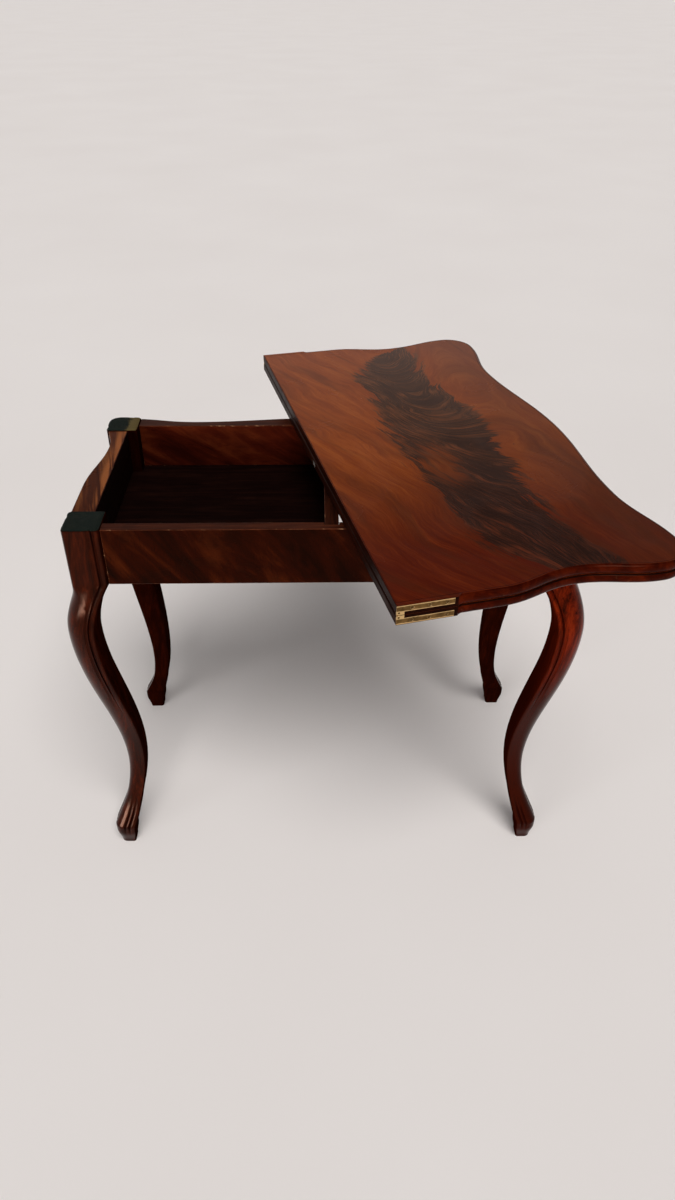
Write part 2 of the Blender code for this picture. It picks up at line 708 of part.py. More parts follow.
def make_strap(leaf, side, side_name):
    """Lets a strap, its pin and its screws into a leaf's end, and gives the leaf's cutters."""
    label = "%s_%s" % (leaf.name, side_name)
    across_pin = Matrix.Rotation(math.pi / 2, 4, "Y")
    link_depth = STRAP_THICKNESS + SEAT_GAP + LINK_THICKNESS
    strap = add_part("hinge_strap_" + label, end_plate(
        "hinge_strap_" + label, strap_outline(), STRAP_THICKNESS, side, leaf.sign, 0.0),
        BRASS, leaf.parent, leaf.origin)
    pin_place = leaf.origin + Vector((0.0, PIN_INSET, leaf.sign * PIN_INSET))
    ends = sorted((side * TOP_LENGTH / 2, side * (TOP_LENGTH / 2 - link_depth)))
    add_part("hinge_pin_" + label, rod_mesh(
        "hinge_pin_" + label, PIN_RADIUS, ends[0], ends[1], across_pin, SCREW_STEPS),
        BRASS, leaf.parent, pin_place)
    pin_hole = add_cutter("pin_hole_" + label, rod_mesh(
        "pin_hole", PIN_RADIUS + SEAT_GAP, ends[0] - PAST, ends[1] + PAST, across_pin, SCREW_STEPS),
        leaf.parent, pin_place)
    bar_middle = (STRAP_LOW + STRAP_HIGH) / 2
    spacing = (STRAP_LENGTH - STRAP_HEAD_WIDTH - 2 * STRAP_SCREW_END) / (STRAP_SCREWS - 1)
    screw_holes = []
    for number in range(STRAP_SCREWS):
        along = STRAP_HEAD_WIDTH + STRAP_SCREW_END + spacing * number
        spot = leaf.origin + Vector((side * TOP_LENGTH / 2, along, leaf.sign * bar_middle))
        screw_holes.append(add_screw("strap_screw_%s_%d" % (label, number + 1), BRASS,
                                     leaf.parent, spot, (0.0, side * math.pi / 2, 0.0)))
    combine(strap, [pin_hole] + screw_holes)

    seat = (-PAST, STRAP_THICKNESS + SEAT_GAP)
    sweep = PIN_INSET + LINK_RADIUS + 2 * SEAT_GAP
    boxes = {
        "bar": end_box(side, leaf.sign, seat, (STRAP_HEAD_WIDTH, STRAP_LENGTH + SEAT_GAP),
                       (STRAP_LOW - SEAT_GAP, STRAP_HIGH + SEAT_GAP)),
        "head": end_box(side, leaf.sign, seat, (-PAST, STRAP_HEAD_WIDTH + SEAT_GAP),
                        (-PAST, STRAP_HIGH + SEAT_GAP)),
        "link": end_box(side, leaf.sign, (-PAST, link_depth + SEAT_GAP), (-PAST, sweep), (-PAST, sweep)),
    }
    recesses = [add_cutter("%s_recess_%s" % (key, label), box_mesh(key, *corners), leaf.parent, leaf.origin)
                for key, corners in boxes.items()]
    return recesses + screw_holes


def make_link(side, side_name):
    """Joins the two pins of a hinge with a short link behind the straps."""
    name = "hinge_link_" + side_name
    outline = arc((0.0, 0.0), LINK_RADIUS, 180.0, 360.0, LINK_STEPS)
    outline += arc((0.0, PIN_SPACING), LINK_RADIUS, 0.0, 180.0, LINK_STEPS)
    depth = STRAP_THICKNESS + SEAT_GAP
    link = add_part(name, end_plate(name, outline, LINK_THICKNESS, side, 1, depth), BRASS, link_axis)
    turn = Matrix.Rotation(math.pi / 2, 4, "Y")
    ends = sorted((side * TOP_LENGTH / 2, side * (TOP_LENGTH / 2 - depth - LINK_THICKNESS)))
    holes = [add_cutter("link_hole_%s_%s" % (level, side_name), rod_mesh(
        "link_hole", PIN_RADIUS + SEAT_GAP, ends[0] - PAST, ends[1] + PAST, turn, SCREW_STEPS),
        link_axis, (0.0, 0.0, height)) for level, height in (("lower", 0.0), ("upper", PIN_SPACING))]
    combine(link, holes)


def make_catch():
    """Lets a small plate into the middle of the lower leaf's hinge edge."""
    spot = LOWER.origin
    half = CATCH_WIDTH / 2
    catch = add_part("catch_plate", box_mesh(
        "catch_plate", (-half, 0.0, -CATCH_HIGH), (half, CATCH_THICKNESS, -CATCH_LOW)),
        STEEL, swivel_axis, spot)
    recess = add_cutter("catch_recess", box_mesh(
        "catch_recess", (-half - SEAT_GAP, -PAST, -CATCH_HIGH - SEAT_GAP),
        (half + SEAT_GAP, CATCH_THICKNESS + SEAT_GAP, -CATCH_LOW + SEAT_GAP)), swivel_axis, spot)
    holes = []
    for number, side in ((1, -1), (2, 1)):
        place_on_edge = spot + Vector((side * CATCH_SCREW_SPREAD / 2, 0.0, -(CATCH_LOW + CATCH_HIGH) / 2))
        holes.append(add_screw("catch_screw_%d" % number, STEEL, swivel_axis, place_on_edge,
                               (math.pi / 2, 0.0, 0.0), CATCH_SCREW_SCALE))
    combine(catch, holes)
    return [recess] + holes


def make_pivot():
    """Bolts the lower leaf to the pivot rail, and gives the leaf's cutters."""
    half = PLATE_WIDTH / 2
    plate_top = UNDER_TOP + PLATE_THICKNESS
    head_low = plate_top + SEAT_GAP
    head_top = head_low + BOLT_HEAD_THICKNESS
    washer_top = PIVOT_RAIL_BOTTOM - SEAT_GAP
    nut_top = washer_top - WASHER_THICKNESS - SEAT_GAP
    nut_low = nut_top - NUT_THICKNESS
    bore = BOLT_RADIUS + SEAT_GAP

    plate = add_part("pivot_plate", box_mesh(
        "pivot_plate", (-half, -half, UNDER_TOP), (half, half, plate_top)), IRON, swivel_axis)
    bolt_hole = add_cutter("bolt_hole", rod_mesh("bolt_hole", bore, nut_low - PAST, head_low), swivel_axis)
    screws = []
    spread = half - PLATE_SCREW_SET_IN
    for number, (x, y) in enumerate(((-1, -1), (1, -1), (1, 1), (-1, 1))):
        screws.append(add_screw("plate_screw_%d" % (number + 1), IRON, swivel_axis,
                                (x * spread, y * spread, UNDER_TOP), (math.pi, 0.0, 0.0)))
    combine(plate, [bolt_hole] + screws)

    bolt = add_part("pivot_bolt", profile_mesh("pivot_bolt", [
        (0.0, head_top), (BOLT_HEAD_RADIUS, head_top), (BOLT_HEAD_RADIUS, head_low),
        (BOLT_RADIUS, head_low), (BOLT_RADIUS, nut_low - BOLT_END), (0.0, nut_low - BOLT_END)]),
        IRON, swivel_axis)
    turn_profile(bolt, ROUND_STEPS)
    washer = add_part("pivot_washer", profile_mesh("pivot_washer", [
        (bore, washer_top), (WASHER_RADIUS, washer_top), (WASHER_RADIUS, washer_top - WASHER_THICKNESS),
        (bore, washer_top - WASHER_THICKNESS)], True), IRON, swivel_axis)
    turn_profile(washer, ROUND_STEPS)
    nut = add_part("pivot_nut", box_mesh(
        "pivot_nut", (-NUT_WIDTH / 2, -NUT_WIDTH / 2, nut_low), (NUT_WIDTH / 2, NUT_WIDTH / 2, nut_top)),
        IRON, swivel_axis)
    combine(nut, [bolt_hole])

    bush = add_part("pivot_bush", profile_mesh("pivot_bush", [
        (bore, PIVOT_RAIL_TOP), (bore + BUSH_WALL, PIVOT_RAIL_TOP), (bore + BUSH_WALL, PIVOT_RAIL_BOTTOM),
        (bore, PIVOT_RAIL_BOTTOM)], True), BRASS, table, (PIVOT_X, PIVOT_Y, 0.0))
    turn_profile(bush, ROUND_STEPS)

    reach = PIVOT_RAIL_WIDTH / 2 + PEG_RADIUS + SEAT_GAP
    peg_place = (-reach, -reach, UNDER_TOP)
    peg_mesh = rod_mesh("stop_peg", PEG_RADIUS, -PEG_REACH, PEG_SEAT)
    add_part("stop_peg", peg_mesh, PEG_WOOD, swivel_axis, peg_place)
    peg_hole = add_cutter("peg_hole", rod_mesh(
        "peg_hole", PEG_RADIUS + SEAT_GAP, -PAST, PEG_SEAT + SEAT_GAP), swivel_axis, peg_place)
    plate_recess = add_cutter("plate_recess", box_mesh(
        "plate_recess", (-half - SEAT_GAP, -half - SEAT_GAP, UNDER_TOP - PAST),
        (half + SEAT_GAP, half + SEAT_GAP, plate_top + SEAT_GAP)), swivel_axis)
    head_recess = add_cutter("head_recess", rod_mesh(
        "head_recess", BOLT_HEAD_RADIUS + SEAT_GAP, UNDER_TOP, head_top + SEAT_GAP), swivel_axis)
    return [plate_recess, head_recess, peg_hole] + screws


def make_top():
    """Makes both leaves, with everything let into them."""
    for leaf, tools in ((LOWER, make_pivot() + make_catch()), (UPPER, [])):
        name = leaf.name + "_leaf"
        piece = add_part(name, loft_mesh(name, leaf_rings(leaf.sign)), TOP_WOOD, leaf.parent, leaf.origin)
        for side_name, side in (("right", 1), ("left", -1)):
            tools = tools + make_strap(leaf, side, side_name)
        combine(piece, tools)
    for side_name, side in (("right", 1), ("left", -1)):
        make_link(side, side_name)


def shade_round_pieces():
    """Shades the curved faces smooth, and keeps the arrises sharp."""
    for piece in PARTS.objects:
        if piece.type == "MESH":
            piece.data.shade_smooth()
            piece.data.set_sharp_from_angle(angle=SHARP_ANGLE)


make_legs()
make_felt_pads()
make_frame()
make_top()
shade_round_pieces()
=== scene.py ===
"""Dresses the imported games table: moulded leaves, carved legs, felt, brass and polished mahogany.

Units are metres in the frame that the parts were packed in, +Z is up and the floor is z = 0.
"""

import json
import random
from math import copysign, cos, pi, radians, sin, sqrt

import bmesh
import bpy
from mathutils import Matrix, Vector
from mathutils.geometry import interpolate_bezier

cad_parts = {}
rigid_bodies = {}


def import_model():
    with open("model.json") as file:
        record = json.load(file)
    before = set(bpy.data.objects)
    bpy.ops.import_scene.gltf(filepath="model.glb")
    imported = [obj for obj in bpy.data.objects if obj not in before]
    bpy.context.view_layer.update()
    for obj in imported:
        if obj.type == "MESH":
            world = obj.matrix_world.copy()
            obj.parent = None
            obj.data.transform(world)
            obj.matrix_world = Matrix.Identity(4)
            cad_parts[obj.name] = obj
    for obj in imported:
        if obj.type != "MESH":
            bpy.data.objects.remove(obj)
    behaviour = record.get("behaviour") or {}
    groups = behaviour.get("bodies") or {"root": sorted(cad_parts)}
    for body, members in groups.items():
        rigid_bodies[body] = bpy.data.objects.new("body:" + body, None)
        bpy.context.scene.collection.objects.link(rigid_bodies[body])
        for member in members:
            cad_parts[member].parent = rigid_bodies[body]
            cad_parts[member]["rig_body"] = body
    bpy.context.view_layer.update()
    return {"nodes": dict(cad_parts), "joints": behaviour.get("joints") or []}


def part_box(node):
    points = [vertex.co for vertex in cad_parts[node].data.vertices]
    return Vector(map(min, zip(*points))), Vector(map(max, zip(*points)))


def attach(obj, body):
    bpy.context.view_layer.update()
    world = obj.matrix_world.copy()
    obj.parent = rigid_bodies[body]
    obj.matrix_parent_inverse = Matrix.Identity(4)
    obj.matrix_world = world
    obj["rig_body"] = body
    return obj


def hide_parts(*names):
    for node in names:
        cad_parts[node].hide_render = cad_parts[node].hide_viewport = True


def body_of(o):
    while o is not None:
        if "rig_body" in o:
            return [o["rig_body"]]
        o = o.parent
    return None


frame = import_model()
NODES = frame["nodes"]
JOINTS = {joint["name"]: joint for joint in frame["joints"]}
RANDOM = random.Random(7)

# Clearances, steps and limits
GAP = 0.0003
PAST = 0.004
CURVE_STEPS = 20
CURVE_PULL = 0.39
EDGE_STEPS = 8
SMOOTH_ANGLE = radians(32.0)
BEVEL_ANGLE = radians(50.0)
WELD_DISTANCE = 0.00001

# Axes and frames
ALONG_X, ALONG_Y, ALONG_Z = range(3)
UP = Vector((0.0, 0.0, 1.0))
NO_TURN = (0.0, 0.0, 0.0)
NO_SHIFT = (0.0, 0.0, 0.0)

# Frame
FRAME_LENGTH = 0.790
FRAME_DEPTH = 0.401
FRAME_END_STRAIGHT = 0.140
FRAME_END_DIP = 0.016
FRAME_END_DIP_AT = 0.281
FRAME_CORNER = 0.032
FRAME_FRONT_DIP = 0.0155
FRAME_FRONT_DIP_AT = 0.235
RAIL_SET_BACK = 0.004
BACK_RAIL_THICKNESS = 0.024
FRONT_RAIL_THICKNESS = 0.037
END_RAIL_THICKNESS = 0.041
ARRIS = 0.0011

# Leaves
TOP_LENGTH = 0.890
LEAF_DEPTH = 0.437
LEAF_THICKNESS = 0.015
LEAF_END_STRAIGHT = 0.150
LEAF_END_DIP = 0.022
LEAF_END_DIP_AT = 0.262
LEAF_CORNER = 0.050
LEAF_FRONT_DIP = 0.022
LEAF_FRONT_DIP_AT = 0.250
LEAF_EDGE_ROUND = 0.0068
LEAF_ARRIS_ROUND = 0.001
LEAF_HALF_GAP = 0.0002
SQUARE_END = 0.084
SQUARE_END_FADE = 0.006
EDGE_LINE_IN = 0.0076
HINGE_LINE_IN = 0.0018
LINE_HALF = 0.0005
LINE_DEPTH = 0.0002
# Edge faces this close to the mating plane get painted shade, for the gap between the leaves
SHADED_GAP = 0.0026

# Hinges
PIN_INSET = 0.0035
STRAP_THICKNESS = 0.0018
STRAP_LENGTH = 0.079
STRAP_LOW = 0.0050
STRAP_HIGH = 0.0144
STRAP_HEAD_WIDTH = 0.011
LINK_POCKET_DEPTH = 0.0040
LINK_POCKET = 0.0069

# Legs
POST_WIDTH = 0.058
POST_BACK_ROUND = 0.006
POST_FRONT_ROUND = 0.022
POST_SIDE_ROUND = 0.003
ROLL_ROUND = 0.0068
KNEE_HEIGHT = 0.515
KNEE_SWEEP = 0.0268
KNEE_HALF = 0.0236
KNEE_FULLER = 0.0016
LEFT_KNEE_SHIFT = -0.0016
RIGHT_KNEE_SHIFT = 0.0035
THIGH_HEIGHT = 0.420
CALF_HEIGHT = 0.200
CALF_SWEEP = -0.0128
ANKLE_HEIGHT = 0.115
ANKLE_HALF = 0.0150
TOE_HEIGHT = 0.046
TOE_SWEEP = 0.0212
TOE_HALF = 0.0200
LIP_HEIGHT = 0.033
LIP_SWEEP = 0.0216
LIP_HALF = 0.0196
SOLE_SWEEP = 0.0210
SOLE_HALF = 0.0140
FOOT_OUTER_ROUND = 0.85
KNEE_OUTER_ROUND = 1.25
SHOULDER_POWER = 1.35
OUTER_POWER = 4
LEG_SIDE_ROUND = 0.30
LEG_INNER_ROUND = 0.35
CORNER_STEPS = 8
CARVED_STEPS = 22
PLAIN_STEPS = 3
RING_SPACING = 0.0055
FOOT_RING_SPACING = 0.0022

# Levels and places, from the frame and the sizes above
FRAME_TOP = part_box("back_rail")[1][2]
RAIL_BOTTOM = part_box("back_rail")[0][2]
HALF_LENGTH = FRAME_LENGTH / 2
HALF_DEPTH = FRAME_DEPTH / 2
HALF_TOP = TOP_LENGTH / 2
POST_INNER_X = HALF_LENGTH - POST_WIDTH
POST_INNER_Y = HALF_DEPTH - POST_WIDTH
TABLE_MIDDLE = (Vector(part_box("leg_back_left")[0]) + Vector(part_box("leg_front_right")[1])) / 2


def top_matrix():
    """Gives the frame of the folded top: X along the hinge, Y across the leaves, Z up from between them."""
    along = Vector(JOINTS["leaf_fold"]["axis"]).normalized()
    across = UP.cross(along)
    pins = (Vector(JOINTS["link_swing"]["pos_m"]) + Vector(JOINTS["leaf_fold"]["pos_m"])) / 2
    origin = pins - PIN_INSET * across
    return Matrix.Translation(origin) @ Matrix((along, across, UP)).transposed().to_4x4()


TOP = top_matrix()


# Shader helpers

class Value:
    """Something that a shader works out. Sums with it add nodes to the shader's tree."""

    def __init__(self, node, output=0):
        self.socket = node.outputs[output]
        self.tree = node.id_data

    def __add__(self, other):
        return calculate("ADD", self, other)

    def __sub__(self, other):
        return calculate("SUBTRACT", self, other)

    def __rsub__(self, other):
        return calculate("SUBTRACT", other, self)

    def __mul__(self, other):
        return calculate("MULTIPLY", self, other)

    def __truediv__(self, other):
        return calculate("DIVIDE", self, other)

    def __abs__(self):
        return calculate("ABSOLUTE", self)


def add_node(tree, kind, inputs=None, **settings):
    """Adds a shader node with its settings, and with inputs that are plain or worked out."""
    made = tree.nodes.new("ShaderNode" + kind)
    for key, value in settings.items():
        setattr(made, key, value)
    for key, value in (inputs or {}).items():
        if isinstance(value, Value):
            tree.links.new(value.socket, made.inputs[key])
        else:
            made.inputs[key].default_value = value
    return made


def calculate(operation, first, second=0.0):
    tree = (first if isinstance(first, Value) else second).tree
    return Value(add_node(tree, "Math", {0: first, 1: second}, operation=operation))


def axis_of(place, axis):
    return Value(add_node(place.tree, "SeparateXYZ", {"Vector": place}), axis)


def joined(x, y):
    return Value(add_node(x.tree, "CombineXYZ", {"X": x, "Y": y}))


def in_frame(place, turn, shift, size):
    """Reads coordinates in a frame that is turned, shifted and stretched."""
    inputs = {"Vector": place, "Rotation": turn, "Location": shift, "Scale": size}
    return Value(add_node(place.tree, "Mapping", inputs, vector_type="TEXTURE"))


def new_material(name, turned=None):
    """Starts a material, and gives it with its place coordinates, which may be in a turned frame."""
    made = bpy.data.materials.new(name)
    made.use_nodes = True
    place = Value(add_node(made.node_tree, "TexCoord"), "Object")
    if turned is not None:
        place = in_frame(place, turned.to_euler(), turned.translation, (1.0, 1.0, 1.0))
    return made, place


def noise(place, size, detail=4.0, distortion=0.0, roughness=0.5, turn=NO_TURN, shift=NO_SHIFT):
    """Gives noise with cells of a size, one for all axes or one for each."""
    if isinstance(size, float):
        size = (size, size, size)
    return Value(add_node(place.tree, "TexNoise", {
        "Vector": in_frame(place, turn, shift, size), "Scale": 1.0, "Detail": detail,
        "Roughness": roughness, "Distortion": distortion}))


def smooth(value, low, high, to_low=0.0, to_high=1.0):
    """Goes softly from one value to another while the input goes from low to high."""
    return Value(add_node(value.tree, "MapRange", {
        "Value": value, "From Min": low, "From Max": high, "To Min": to_low, "To Max": to_high},
        interpolation_type="SMOOTHSTEP"))


def ramp(factor, places, colours):
    """Colours a factor by the colours at some places."""
    made = add_node(factor.tree, "ValToRGB", {"Fac": factor})
    elements = made.color_ramp.elements
    while len(elements) < len(places):
        elements.new(0.5)
    for element, position, colour in zip(elements, places, colours):
        element.position = position
        element.color = (*colour, 1.0)
    return Value(made)


def mix(factor, first, second, blend="MIX"):
    """Mixes two colours by a factor."""
    tree = (factor if isinstance(factor, Value) else first).tree
    inputs = {0: factor}
    for index, colour in ((6, first), (7, second)):
        inputs[index] = colour if isinstance(colour, Value) else (*colour, 1.0)
    return Value(add_node(tree, "Mix", inputs, data_type="RGBA", blend_type=blend), 2)


def curve(factor, points):
    """Reads a curve through points, each a (place, value) from 0 to 1."""
    made = add_node(factor.tree, "FloatCurve", {"Value": factor})
    line = made.mapping.curves[0]
    while len(line.points) < len(points):
        line.points.new(0.5, 0.5)
    for point, (position, value) in zip(line.points, points):
        point.location = (position, value)
    made.mapping.update()
    return Value(made)


def bump(height, distance, strength=1.0):
    return Value(add_node(height.tree, "Bump", {
        "Height": height, "Distance": distance, "Strength": strength}))


def link_surface(key, value):
    """Links a worked-out value to an input of its material's surface."""
    value.tree.links.new(value.socket, value.tree.nodes["Principled BSDF"].inputs[key])


def finish_surface(colour, roughness, normal=None, **values):
    """Gives a material's surface its colour, roughness, bumped normal and plain values."""
    for key, value in values.items():
        colour.tree.nodes["Principled BSDF"].inputs[key.replace("_", " ")].default_value = value
    link_surface("Base Color", colour)
    link_surface("Roughness", roughness)
    if normal is not None:
        link_surface("Normal", normal)


# Materials

POLISH_TINT = (1.0, 0.48, 0.30, 1.0)
PORE_WIDTH = 0.0011
PORE_LENGTH = 0.017
GRAIN_PLACES = (0.36, 0.50, 0.64)
FLAME_PLACES = (0.43, 0.52, 0.61)
RUBBED_WOOD = (0.30, 0.15, 0.075)
# Painted shade for carved grooves and the roll beside them
GROOVE_SHADE = (0.003, 0.0010, 0.0007)
LIGHT_LINE_NEAR = 0.003
LIGHT_LINE_FAR = 0.012


def polish(level):
    """Gives the settings of a warm, aged shellac polish that shines by a level."""
    return {"Specular_IOR_Level": level, "Specular_Tint": POLISH_TINT}


def scaled(colour, factor):
    return [value * factor for value in colour]


def pores(place, along):
    """Gives the short dark pore lines of mahogany, along an axis."""
    size = [PORE_WIDTH] * 3
    size[along] = PORE_LENGTH
    return smooth(noise(place, size, 2.0), 0.60, 0.72)


def wood_material(name, tones, along, streak, gloss, tilt=NO_TURN, wear=0.0, carved=False, shine=0.05,
                  swirl=1.0, fineness=0.26, mottled=0.45, shade_below=None, inside_shade=0.60,
                  groove_shading=0.85, light_line=None, turned=None):
    """Makes polished wood: streaks along an axis, pores, mottling, worn and dull places, and painted shade
    in carved grooves, on inward faces and below a height.
    """
    made, place = new_material(name, turned)
    dark, _, light = tones
    length, width = streak
    size = [width] * 3
    size[along] = length
    broad = noise(place, size, 5.0, swirl, 0.6, tilt)
    fine = noise(place, [value / 5 for value in size], 3.0, 0.3, turn=tilt)
    colour = ramp(broad * (1.0 - fineness) + fine * fineness, GRAIN_PLACES, tones)
    mottle = noise(place, 0.06, 3.0, 0.6)
    colour = mix(smooth(mottle, 0.45, 0.70, 0.0, mottled), colour, dark)
    pore = pores(place, along)
    colour = mix(pore * 0.5, colour, scaled(dark, 0.4))
    rough = smooth(mottle, 0.3, 0.7, gloss - 0.05, gloss + 0.07)
    if wear:
        rubbed = noise(place, 0.012, 5.0, 0.4, 0.65)
        rubbed = smooth(rubbed, 0.64 - 0.2 * wear, 0.84 - 0.2 * wear)
        colour = mix(rubbed, colour, RUBBED_WOOD)
        rough = rough + rubbed * 0.15
    if light_line is not None:
        off = abs(axis_of(place, "X") - light_line)
        near = smooth(off, LIGHT_LINE_NEAR, LIGHT_LINE_FAR, 0.90, 0.0) * smooth(broad, 0.40, 0.56)
        colour = mix(near, colour, scaled(light, 1.8))
    # Painted shade below a height, so that the knee above stays lighter as painted light
    if shade_below:
        colour = mix(smooth(axis_of(place, "Z"), *shade_below, 0.97, 0.0), colour, dark)
    if carved:
        hollow, inner = [Value(add_node(place.tree, "Attribute", attribute_name=key), "Fac")
                         for key in ("hollow", "inner")]
        # Painted shade in the carved grooves and on the roll
        colour = mix(hollow * groove_shading, colour, GROOVE_SHADE)
        # Painted shade on faces that turn inward, under the table
        colour = mix(inner * inside_shade, colour, scaled(dark, 0.5))
        dull = calculate("MAXIMUM", hollow, inner)
        rough = rough + dull * 0.3
        link_surface("Specular IOR Level", smooth(dull, 0.0, 0.9, shine, 0.0))
    finish_surface(colour, rough, bump(fine * 0.3 - pore, 0.00010, 0.4), **polish(shine))
    return made


# The dark figure's two edges over a leaf: (share from the right end, share from the hinge edge)
FIGURE_NEAR_EDGE = [(0.0, 0.55), (0.075, 0.45), (0.125, 0.39), (0.20, 0.36), (0.26, 0.33), (0.42, 0.335),
                    (0.56, 0.325), (0.69, 0.35), (0.78, 0.34), (0.86, 0.40), (0.97, 0.64), (1.0, 0.75)]
FIGURE_FAR_EDGE = [(0.0, 0.79), (0.06, 0.73), (0.115, 0.685), (0.22, 0.665), (0.33, 0.69), (0.41, 0.71),
                   (0.47, 0.735), (0.56, 0.73), (0.63, 0.70), (0.73, 0.67), (0.81, 0.655), (0.93, 0.70),
                   (1.0, 0.68)]
FIGURE_ISLAND = (0.395, 0.43, 0.0)
FIGURE_RAGGED = 0.46
# Towards the far end the tones are lighter and more orange: partly the wood's own hue, partly painted light
NEAR_TONES = ((0.060, 0.0050, 0.0010), (0.083, 0.0080, 0.0012), (0.122, 0.0150, 0.0022))
FAR_LIT_TONES = ((0.172, 0.0315, 0.0042), (0.232, 0.0465, 0.0058), (0.300, 0.0710, 0.0100))
FLAME_NEAR_TONES = ((0.013, 0.0044, 0.0028), (0.030, 0.0094, 0.0050), (0.098, 0.0205, 0.0078))
FLAME_FAR_LIT_TONES = ((0.024, 0.0095, 0.0046), (0.054, 0.0205, 0.0080), (0.160, 0.0500, 0.0165))
FRONT_SHADE = (0.070, 0.0170, 0.0050)
BAND_SHADE = (0.055, 0.0120, 0.0028)
PORE_SHADE = (0.02, 0.006, 0.003)


def veneer_material(name):
    """Makes the figured veneer of a leaf: orange-brown streaks round a long dark flame, lighter towards the
    far end partly by painted light.
    """
    made, place = new_material(name, TOP)
    from_right = HALF_TOP - axis_of(place, "X")
    from_hinge = axis_of(place, "Y")
    along = from_right / TOP_LENGTH
    across = from_hinge / LEAF_DEPTH

    fan = smooth(along, 0.30, 0.0) * smooth(across, 0.60, 0.15)
    slant = smooth(across, 0.90, 0.45, 0.10, 0.40) + fan * 0.5
    leaning = from_hinge + slant * from_right
    sway = noise(joined(from_right, leaning), (0.15, 0.08, 1.0), 3.0, shift=(0.31, 0.17, 0.0))
    flow = joined(from_right, leaning + (sway - 0.5) * 0.060)
    broad = noise(flow, (0.17, 0.016, 1.0), 5.0, 0.4, 0.6)
    fine = noise(flow, (0.055, 0.0026, 1.0), 4.0, 0.2, 0.65)
    grain = broad * 0.60 + fine * 0.40

    ragged = (grain - 0.5) * FIGURE_RAGGED
    past_near = across - curve(along, FIGURE_NEAR_EDGE)
    past_far = curve(along, FIGURE_FAR_EDGE) - across
    inside = smooth(calculate("MINIMUM", past_near, past_far) + ragged, -0.006, 0.014)
    island = Value(add_node(place.tree, "VectorMath", {0: joined(along, across), 1: FIGURE_ISLAND},
                            operation="DISTANCE"), "Value")
    island = smooth(island + ragged, 0.085, 0.035)
    inside = inside * (1.0 - island * 0.62)

    near = ramp(grain, GRAIN_PLACES, NEAR_TONES)
    far = ramp(grain, GRAIN_PLACES, FAR_LIT_TONES)
    # Lighter far end: partly the wood's hue, partly painted light
    colour = mix(smooth(along, 0.08, 0.52), near, far)
    colour = mix(smooth(across, 0.62, 0.86, 0.0, 0.42), colour, FRONT_SHADE)
    band = noise(flow, (0.24, 0.034, 1.0), 4.0, 0.6, shift=(0.7, 0.4, 0.0))
    colour = mix(smooth(band, 0.47, 0.66, 0.0, 0.44), colour, BAND_SHADE)
    clump = noise(flow, (0.075, 0.030, 1.0), 3.0, 0.8)
    streak = fine * 0.45 + (broad * 0.30 + clump * 0.25)
    flame_near = ramp(streak, FLAME_PLACES, FLAME_NEAR_TONES)
    flame_far = ramp(streak, FLAME_PLACES, FLAME_FAR_LIT_TONES)
    flame = mix(smooth(along, 0.10, 0.80), flame_near, flame_far)
    colour = mix(inside * 0.95, colour, flame)
    pore = pores(place, ALONG_X)
    colour = mix(pore * 0.25, colour, PORE_SHADE)
    haze = noise(place, 0.11, 4.0, 0.8)
    rough = smooth(haze, 0.3, 0.7, 0.18, 0.28)
    finish_surface(colour, rough, bump(haze * 0.8 - pore * 0.15, 0.0003, 0.30), **polish(0.18))
    return made


FELT_TONES = ((0.0016, 0.0036, 0.0026), (0.0045, 0.0085, 0.0062), (0.0130, 0.0190, 0.0130))
MATTED_FELT = (0.0130, 0.0140, 0.0085)
BARE_FELT = (0.120, 0.084, 0.028)
BARE_FADE = 0.004


def felt_material(name, bare_from=None):
    """Makes thin green felt: matted fibres, worn through to the yellowish backing past a place along X."""
    made, place = new_material(name)
    fibre = noise(place, (0.0012, 0.0005, 0.0008), 5.0, 2.5, 0.7, (0.0, 0.0, 0.7))
    matted = noise(place, 0.009, 4.0, 0.8)
    colour = ramp(fibre, (0.36, 0.52, 0.70), FELT_TONES)
    colour = mix(smooth(matted, 0.45, 0.72, 0.0, 0.5), colour, MATTED_FELT)
    if bare_from is not None:
        past = axis_of(place, "X") + (matted - 0.5) * 0.025
        bare = smooth(past, bare_from - BARE_FADE, bare_from + BARE_FADE)
        colour = mix(bare * 0.8, colour, BARE_FELT)
    finish_surface(colour, smooth(fibre, 0.3, 0.7, 0.85, 1.0), bump(fibre + matted, 0.0006),
                   Sheen_Weight=0.03, Specular_IOR_Level=0.04)
    return made


def metal_material(name, bright, dull, roughness, patch=0.010):
    """Makes old metal: bright where it is rubbed, dull in patches, with fine scratches."""
    made, place = new_material(name)
    tarnish = noise(place, patch, 6.0, 1.0, 0.6)
    scratch = noise(place, (0.006, 0.0003, 0.0003), 3.0, turn=(0.3, 0.2, 1.33))
    factor = tarnish * 0.8 + scratch * 0.2
    colour = ramp(factor, (0.36, 0.64), (dull, bright))
    rough = smooth(factor, 0.35, 0.65, roughness + 0.18, roughness - 0.06)
    finish_surface(colour, rough, bump(factor, 0.00012, 0.5), Metallic=1.0)
    return made


DULL_STRAP = ((0.085, 0.046, 0.015), (0.210, 0.118, 0.040))
RUBBED_LIT_STRAP = (0.70, 0.47, 0.215)


